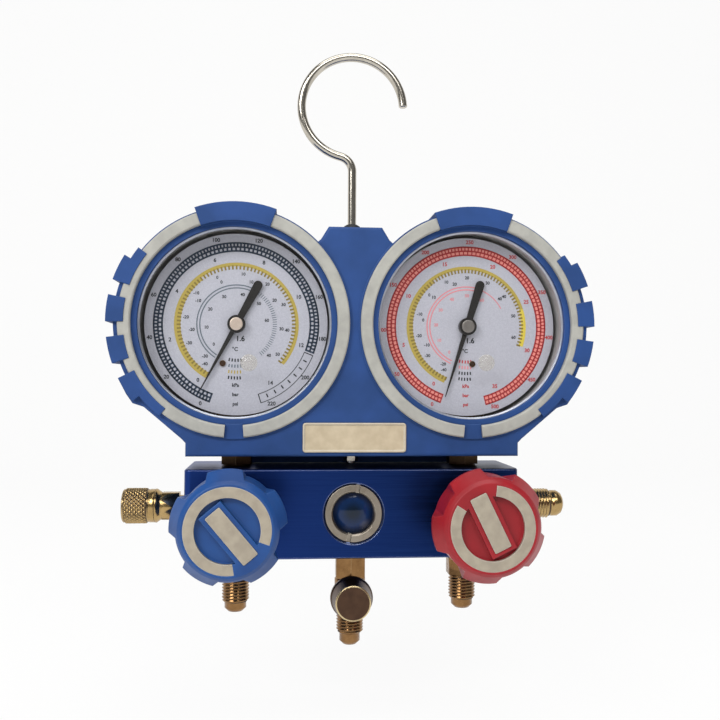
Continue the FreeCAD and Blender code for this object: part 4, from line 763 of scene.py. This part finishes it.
def outwards(mesh):
    # Welds the mesh and turns every face of each closed shell outwards.
    made = bmesh.new()
    made.from_mesh(mesh)
    bmesh.ops.remove_doubles(made, verts=made.verts, dist=0.001 * mm)
    bmesh.ops.recalc_face_normals(made, faces=made.faces)
    made.to_mesh(mesh)
    made.free()
    return mesh


def inkPlace(centre, ink, first, last, inner, outer, lift):
    return {"Centre": centre + out * (inkHalf + lift) * mm, "First": float(first),
            "Last": float(last), "Inner": inner * mm, "Outer": outer * mm,
            "Thick": inkLook["thick"] * mm, "Ink": finishes[ink]}


def inkBand(centre, ink, first, last, inner, outer, lift=0.0):
    place = inkPlace(centre, ink, first, last, inner, outer, lift)
    steps = max(3, int(abs(last - first) / inkLook["bend"]))
    return outwards(growMesh(bandMaker, dict(place, Steps=steps)))


def inkTicks(centre, ink, first, last, inner, outer, wide, count, lift=0.0):
    place = inkPlace(centre, ink, first, last, inner, outer, lift)
    return growMesh(tickMaker, dict(place, Wide=wide * mm, Count=count))


def inkText(centre, ink, words, x, z, size):
    curve = bpy.data.curves.new("figure", "FONT")
    curve.body = words
    curve.size = size * mm
    curve.extrude = inkHalf * mm
    curve.offset = inkLook["bold"] * size * mm
    curve.resolution_u = inkLook["curves"]
    curve.align_x = "CENTER"
    curve.align_y = "CENTER"
    mesh = outwards(bakeMesh(linkMesh("figure", curve)))
    spot = centre + Vector((x * mm, -inkHalf * mm, z * mm))
    mesh.transform(Matrix.Translation(spot) @ Matrix.Rotation(math.radians(90), 4, "X"))
    mesh.materials.clear()
    mesh.materials.append(finishes[ink])
    return mesh


def ringNumbers(centre, ink, first, last, radius, size, figures):
    made = []
    for n, figure in enumerate(figures):
        angle = math.radians(first + (last - first) * n / (len(figures) - 1))
        made.append(inkText(centre, ink, str(figure), radius * math.cos(angle),
                            radius * math.sin(angle), scaleLook[size]))
    return made


def ladder(centre, ink, first, last, inner, outer, counts, rung, rail, lift=0.0):
    # A scale drawn as two rows of boxes: the outer row for one unit, the inner for the other.
    middle = (inner + outer) / 2
    made = [inkBand(centre, ink, first, last, r - rail / 2, r + rail / 2, lift)
            for r in (inner + rail / 2, middle, outer - rail / 2)]
    made.append(inkTicks(centre, ink, first, last, middle, outer, rung, counts[0], lift))
    made.append(inkTicks(centre, ink, first, last, inner, middle, rung, counts[1], lift))
    return made


# Radii, widths and heights are millimetres from the dial's centre. Angles are degrees, with 0 at
# three o'clock and 90 at the top, so a scale runs from its larger angle down to its smaller one.
scaleLook = {"inner": 29.6, "outer": 33.6, "figure": 2.2, "smallFigure": 1.8}
coolantLook = {"inner": 22.6, "outer": 25.2, "rim": 1.5, "yellowRim": 1.9, "solidTo": 128,
               "teeth": 76, "toothFrom": 22.4, "toothTo": 24.1, "toothWide": 0.72, "lift": 0.02}


def coolantScale(centre, first, last, yellowFrom=None):
    # The olive band: solid at first, then a thin band toothed along its inner edge.
    look = coolantLook
    outer = look["outer"]
    rim = outer - look["rim"]
    end = last if yellowFrom is None else yellowFrom
    made = [inkBand(centre, "olive", first, end, rim, outer),
            inkBand(centre, "olive", first, look["solidTo"], look["inner"], rim),
            inkTicks(centre, "darkOlive", first, last, look["toothFrom"], look["toothTo"],
                     look["toothWide"], look["teeth"], look["lift"])]
    if yellowFrom is not None:
        made.append(inkBand(centre, "yellow", yellowFrom, last, outer - look["yellowRim"], outer))
    return made


lowDialLook = {
    "scale": (251, -20), "rungs": (112, 84), "rung": 0.78, "rail": 0.72, "coolant": (240.6, -40.6),
    # The open box after the scale, with a few marks along its middle.
    "box": (-22, -72.5), "boxLine": 0.3, "boxEnd": 0.4, "marks": 7, "markWide": 0.55,
    "marksIn": 6, "marksFrom": 30.7, "marksTo": 32.3,
    "arcs": (14.6, 15.8), "arcWide": 0.5, "arcFrom": 237.6, "arcTo": 62,
    "ticksTo": -50.5, "ticksOuter": 16.3, "tickWide": 0.3, "ticks": 34,
    # Each row of numbers: ink, first and last angle, radius, size and the numbers themselves.
    "numbers": [("black", 246, -66, 35.3, "figure", range(0, 240, 20)),
                ("black", 236, -60, 27.5, "figure", range(0, 16, 2)),
                ("black", 232, -36, 20.6, "smallFigure", range(-40, 60, 10)),
                ("black", 222, 8, 12.3, "smallFigure", range(0, 70, 10)),
                ("black", 226, -44, 18.2, "smallFigure", range(-30, 50, 10))],
}


def printLowDial(centre):
    look = lowDialLook
    inner, outer = scaleLook["inner"], scaleLook["outer"]
    made = ladder(centre, "slate", *look["scale"], inner, outer, look["rungs"], look["rung"],
                  look["rail"])
    start, end = look["box"]
    line = look["boxLine"]
    made += [inkBand(centre, "black", start, end, r, r + line) for r in (inner, outer - line)]
    made.append(inkTicks(centre, "black", start, end, inner, outer, look["boxEnd"], 2))
    made.append(inkTicks(centre, "black", start - look["marksIn"], end + look["marksIn"],
                         look["marksFrom"], look["marksTo"], look["markWide"], look["marks"]))
    made += coolantScale(centre, *look["coolant"])
    made += [inkBand(centre, "grey", look["arcFrom"], look["arcTo"], r, r + look["arcWide"])
             for r in look["arcs"]]
    made.append(inkTicks(centre, "grey", look["arcTo"], look["ticksTo"], look["arcs"][0],
                         look["ticksOuter"], look["tickWide"], look["ticks"]))
    for row in look["numbers"]:
        made += ringNumbers(centre, *row)
    return made


highDialLook = {
    "scale": (250.7, -75.5), "rungs": (132, 100), "rung": 0.5, "rail": 0.66, "lift": 0.03,
    "coolant": (248, -18.9), "yellowFrom": 18,
    "arcs": (15.2, 16.4), "arcWide": 0.5, "arcFrom": 246.5, "arcTo": 72,
    "endArc": (16.3, 16.7), "endArcTo": 28,
    "numbers": [("red", 246, -70, 35.3, "figure", range(0, 550, 50)),
                ("red", 240, -64, 27.5, "figure", range(0, 40, 5)),
                ("black", 242, -12, 20.4, "smallFigure", range(-40, 70, 10)),
                ("pink", 236, 60, 12.9, "smallFigure", range(0, 70, 10)),
                ("black", 238, 40, 18.4, "smallFigure", range(-20, 50, 10))],
}


def printHighDial(centre):
    look = highDialLook
    inner, outer = scaleLook["inner"], scaleLook["outer"]
    made = [inkBand(centre, "salmon", *look["scale"], inner, outer)]
    made += ladder(centre, "red", *look["scale"], inner, outer, look["rungs"], look["rung"],
                   look["rail"], look["lift"])
    made += coolantScale(centre, *look["coolant"], look["yellowFrom"])
    made += [inkBand(centre, "pink", look["arcFrom"], look["arcTo"], r, r + look["arcWide"])
             for r in look["arcs"]]
    made.append(inkBand(centre, "pink", look["arcTo"], look["endArcTo"], *look["endArc"]))
    for row in look["numbers"]:
        made += ringNumbers(centre, *row)
    return made


legendLook = {
    "words": [("1.6", 1.5, -5.9, 3.0), ("°C", -0.6, -10.2, 2.2)],  # each with its place and size
    "units": [("kPa", -24.8), ("bar", -28.6), ("psi", -32.4)], "unitX": -0.3, "unitSize": 2.0,
    # A row of plain strokes for each scale's fluid, all rows equally long.
    "strokes": 5, "strokeWide": 0.55, "strokeLong": 1.3, "firstRow": 14.0, "rowStep": 2.4,
    "middle": 268, "spread": 130,
}


def printLegend(centre, inks):
    look = legendLook
    made = [inkText(centre, "black", *word) for word in look["words"]]
    for n, ink in enumerate(inks):
        near = look["firstRow"] + look["rowStep"] * n
        half = look["spread"] / near
        made.append(inkTicks(centre, ink, look["middle"] - half, look["middle"] + half, near,
                             near + look["strokeLong"], look["strokeWide"], look["strokes"]))
    for word, z in look["units"]:
        made.append(inkText(centre, inks[0], word, look["unitX"], z, look["unitSize"]))
    return made


for side, printDial, inks in (("low", printLowDial, ("black", "grey", "olive", "black")),
                              ("high", printHighDial, ("red", "pink", "black", "black"))):
    middle = frontCentre(side + "_dial")
    piece = joinMeshes(side + "-dial-print", printDial(middle) + printLegend(middle, inks),
                       smooth=0)
    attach(piece, "manifold")
    print(side, "dial printed:", len(piece.data.polygons), "faces")


def latheMesh(profile, finish, steps):
    # Spins (radius, height) pairs in millimetres about +Z; both ends lie on the axis.
    made = bmesh.new()
    rings = []
    for radius, height in profile:
        if radius == 0:
            rings.append([made.verts.new((0, 0, height * mm))] * steps)
        else:
            angles = [2 * math.pi * n / steps for n in range(steps)]
            rings.append([made.verts.new((radius * mm * math.cos(angle),
                                          radius * mm * math.sin(angle),
                                          height * mm)) for angle in angles])
    for lower, upper in zip(rings, rings[1:]):
        for n in range(steps):
            after = (n + 1) % steps
            corners = [lower[n], lower[after], upper[after], upper[n]]
            made.faces.new([v for i, v in enumerate(corners) if v not in corners[:i]])
    bmesh.ops.recalc_face_normals(made, faces=made.faces)
    mesh = bpy.data.meshes.new("turned")
    made.to_mesh(mesh)
    made.free()
    mesh.materials.append(finishes[finish])
    return mesh


def turnedTrim(name, profile, finish, foot, steps=48):
    # A spun piece that faces the front, with its foot at this place.
    mesh = latheMesh(profile, finish, steps)
    mesh.transform(Matrix.Translation(foot) @ Matrix.Rotation(math.radians(90), 4, "X"))
    return joinMeshes(name, [mesh])


# A soft plug closes the adjusting hole in each window, a little right of the hub and below it.
plugLook = {"low": (5.4, -15.8), "high": (6.4, -15.1),
            "profile": [(0, 0.02), (3.4, 0.02), (3.4, 0.25), (3.1, 0.42), (2.5, 0.46), (2.3, 0.75),
                        (1.9, 1.05), (1.2, 1.2), (0, 1.24)]}
for side in ("low", "high"):
    x, z = plugLook[side]
    middle = frontCentre(side + "_dial")
    spot = Vector((middle.x + x * mm, frontCentre(side + "_lens").y, middle.z + z * mm))
    plug = turnedTrim(side + "-lens-plug", plugLook["profile"], "frostedPlugPlastic", spot)
    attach(plug, "manifold")
print("lens plugs set")

# The sight glass swells in a low dome, which makes small bright images of the lamps.
domeLook = {"radius": 8.1, "rise": 1.9, "sunk": 0.3, "rings": 8, "steps": 64}
domeBall = (domeLook["radius"] ** 2 + domeLook["rise"] ** 2) / (2 * domeLook["rise"])
domeProfile = [(0, -domeLook["sunk"]), (domeLook["radius"], -domeLook["sunk"])]
for n in range(domeLook["rings"] + 1):
    lean = math.asin(domeLook["radius"] / domeBall) * (1 - n / domeLook["rings"])
    domeProfile.append((domeBall * math.sin(lean) if n < domeLook["rings"] else 0,
                        domeBall * math.cos(lean) - domeBall + domeLook["rise"]))
dome = turnedTrim("sight-dome", domeProfile, "blueSightGlassWellShade", windowCentre, domeLook["steps"])
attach(dome, "manifold")
print("sight dome set")

# A bead turned round the tee cap's face catches the light from every side, and its pale finish adds
# a painted highlight.
beadLook = {"face": 7.15, "bead": 0.62, "sink": 0.7, "back": 0.3, "lip": 0.9, "first": -60,
            "sweep": 210, "rings": 8, "steps": 64}
beadFoot = -beadLook["sink"] - beadLook["back"]
beadProfile = [(0, beadFoot), (beadLook["face"] - beadLook["back"], beadFoot)]
for n in range(beadLook["rings"] + 1):
    lean = math.radians(beadLook["first"] + beadLook["sweep"] * n / beadLook["rings"])
    beadProfile.append((beadLook["face"] - beadLook["bead"] + beadLook["bead"] * math.cos(lean),
                        beadLook["bead"] * (math.sin(lean) - 1)))
beadProfile += [(beadLook["face"] - beadLook["lip"], -beadLook["sink"]), (0, -beadLook["sink"])]
bead = turnedTrim("tee-cap-bead", beadProfile, "beadHighlightAndWear", frontCentre("tee_cap"),
                  beadLook["steps"])
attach(bead, "tee_cap_shell")
print("tee cap bead set")

# In metres: the floor lies this far under the part and sweeps up into the wall behind it.
stageLook = {"floor": 0.028, "reach": 1.6, "back": 0.9, "bend": 0.35, "steps": 12, "wide": 6.0,
             "high": 2.2, "tone": "#F4F4F2", "rough": 0.9, "glow": 0.9}


def makeStage():
    level = cadBox[0][2] - stageLook["floor"]
    made = bmesh.new()
    profile = [(-stageLook["reach"], 0.0)]
    for step in range(stageLook["steps"] + 1):
        turn = math.radians(90) * step / stageLook["steps"]
        profile.append((stageLook["back"] + stageLook["bend"] * math.sin(turn),
                        stageLook["bend"] * (1 - math.cos(turn))))
    profile.append((stageLook["back"] + stageLook["bend"], stageLook["high"]))
    rows = [[made.verts.new((x, y, level + z)) for x in (-stageLook["wide"], stageLook["wide"])]
            for y, z in profile]
    for near, far in zip(rows, rows[1:]):
        made.faces.new((near[0], near[1], far[1], far[0]))
    mesh = bpy.data.meshes.new("backdrop")
    made.to_mesh(mesh)
    made.free()
    mesh.shade_smooth()
    # Matt paper sweep: shadows stay on it, and the camera and mirrors see it close to white.
    material, tree, shader = startMaterial("palePaperSweep", Roughness=stageLook["rough"])
    shader.inputs["Base Color"].default_value = linear(stageLook["tone"])
    rays = addNode(tree, "ShaderNodeLightPath").outputs
    seen = addNode(tree, "ShaderNodeMath", (rays["Is Camera Ray"], rays["Is Glossy Ray"]), 0,
                   operation="MAXIMUM")
    seen = addNode(tree, "ShaderNodeMath", (seen, rays["Is Transmission Ray"]), 0,
                   operation="MAXIMUM")
    share = addNode(tree, "ShaderNodeMath", (seen, stageLook["glow"]), 0, operation="MULTIPLY")
    glow = addNode(tree, "ShaderNodeEmission", {"Color": (1, 1, 1, 1), "Strength": 1.0}, 0)
    mixed = addNode(tree, "ShaderNodeMixShader", (share, shader.outputs[0], glow), 0)
    tree.links.new(mixed, tree.nodes["Material Output"].inputs["Surface"])
    mesh.materials.append(material)
    linkMesh("backdrop", mesh)


worldLook = {"fill": 0.42, "mirrored": 0.16, "seen": 0.97}


def makeWorld():
    # A dim room for what falls on and mirrors in the part. Where the camera looks past the sweep
    # it is as pale as the sweep itself, so no edge shows.
    world = bpy.data.worlds.new("studio")
    world.use_nodes = True
    bpy.context.scene.world = world
    tree = world.node_tree
    tree.nodes.clear()
    rays = addNode(tree, "ShaderNodeLightPath").outputs
    seen = addNode(tree, "ShaderNodeMath", (rays["Is Camera Ray"], rays["Is Transmission Ray"]), 0,
                   operation="MAXIMUM")
    fill, mirrored, white = (
        addNode(tree, "ShaderNodeBackground", {
            "Color": (1, 1, 1, 1), "Strength": worldLook[key]}, 0)
        for key in ("fill", "mirrored", "seen"))
    mixed = addNode(tree, "ShaderNodeMixShader", (rays["Is Glossy Ray"], fill, mirrored), 0)
    mixed = addNode(tree, "ShaderNodeMixShader", (seen, mixed, white), 0)
    addNode(tree, "ShaderNodeOutputWorld", {"Surface": mixed})


lampLook = {  # place, size in metres, watts
    "keySoftbox": ((-0.75, -0.95, 0.55), (0.6, 0.6), 9.0),
    "frontSoftbox": ((0.15, -1.2, 0.8), (1.0, 0.4), 7.0),
    "topSoftbox": ((0.0, -0.15, 0.85), (0.8, 0.5), 3.5),
    "lowSoftbox": ((0.5, -0.75, -0.5), (0.3, 0.3), 1.2),
}


def addLamps():
    aim = Vector((0, 0, (cadBox[0][2] + cadBox[1][2]) / 2))
    for name, (place, size, watts) in lampLook.items():
        lamp = bpy.data.lights.new(name, "AREA")
        lamp.shape = "RECTANGLE"
        lamp.size, lamp.size_y = size
        lamp.energy = watts
        holder = bpy.data.objects.new(name, lamp)
        bpy.context.scene.collection.objects.link(holder)
        holder.location = place
        holder.rotation_euler = (aim - Vector(place)).to_track_quat("-Z", "Y").to_euler()


# Place, lens and sensor in millimetres, turns in degrees, clipping in metres.
cameraLook = {"place": (-27.53, -360.66, -135.72), "pan": 4.96, "tilt": 1.40, "roll": 0.32,
              "lens": 42.895, "sensor": 36, "clip": (0.01, 20)}


def makeCamera():
    pan, tilt, roll = (math.radians(cameraLook[key]) for key in ("pan", "tilt", "roll"))
    ahead = Vector((math.sin(pan) * math.cos(tilt), math.cos(pan) * math.cos(tilt), math.sin(tilt)))
    level = Vector((math.cos(pan), -math.sin(pan), 0))
    up = level.cross(ahead)
    across = level * math.cos(roll) + up * math.sin(roll)
    upward = up * math.cos(roll) - level * math.sin(roll)
    lens = bpy.data.cameras.new("studioCamera")
    lens.lens = cameraLook["lens"]
    lens.sensor_width = cameraLook["sensor"]
    lens.clip_start, lens.clip_end = cameraLook["clip"]
    holder = bpy.data.objects.new("studioCamera", lens)
    bpy.context.scene.collection.objects.link(holder)
    turn = Matrix((across, upward, -ahead)).transposed().to_4x4()
    holder.matrix_world = Matrix.Translation(Vector(cameraLook["place"]) * mm) @ turn
    bpy.context.scene.camera = holder


makeStage()
makeWorld()
addLamps()
makeCamera()
bpy.context.scene.view_settings.view_transform = "Standard"
print("stage, lamps and camera set")
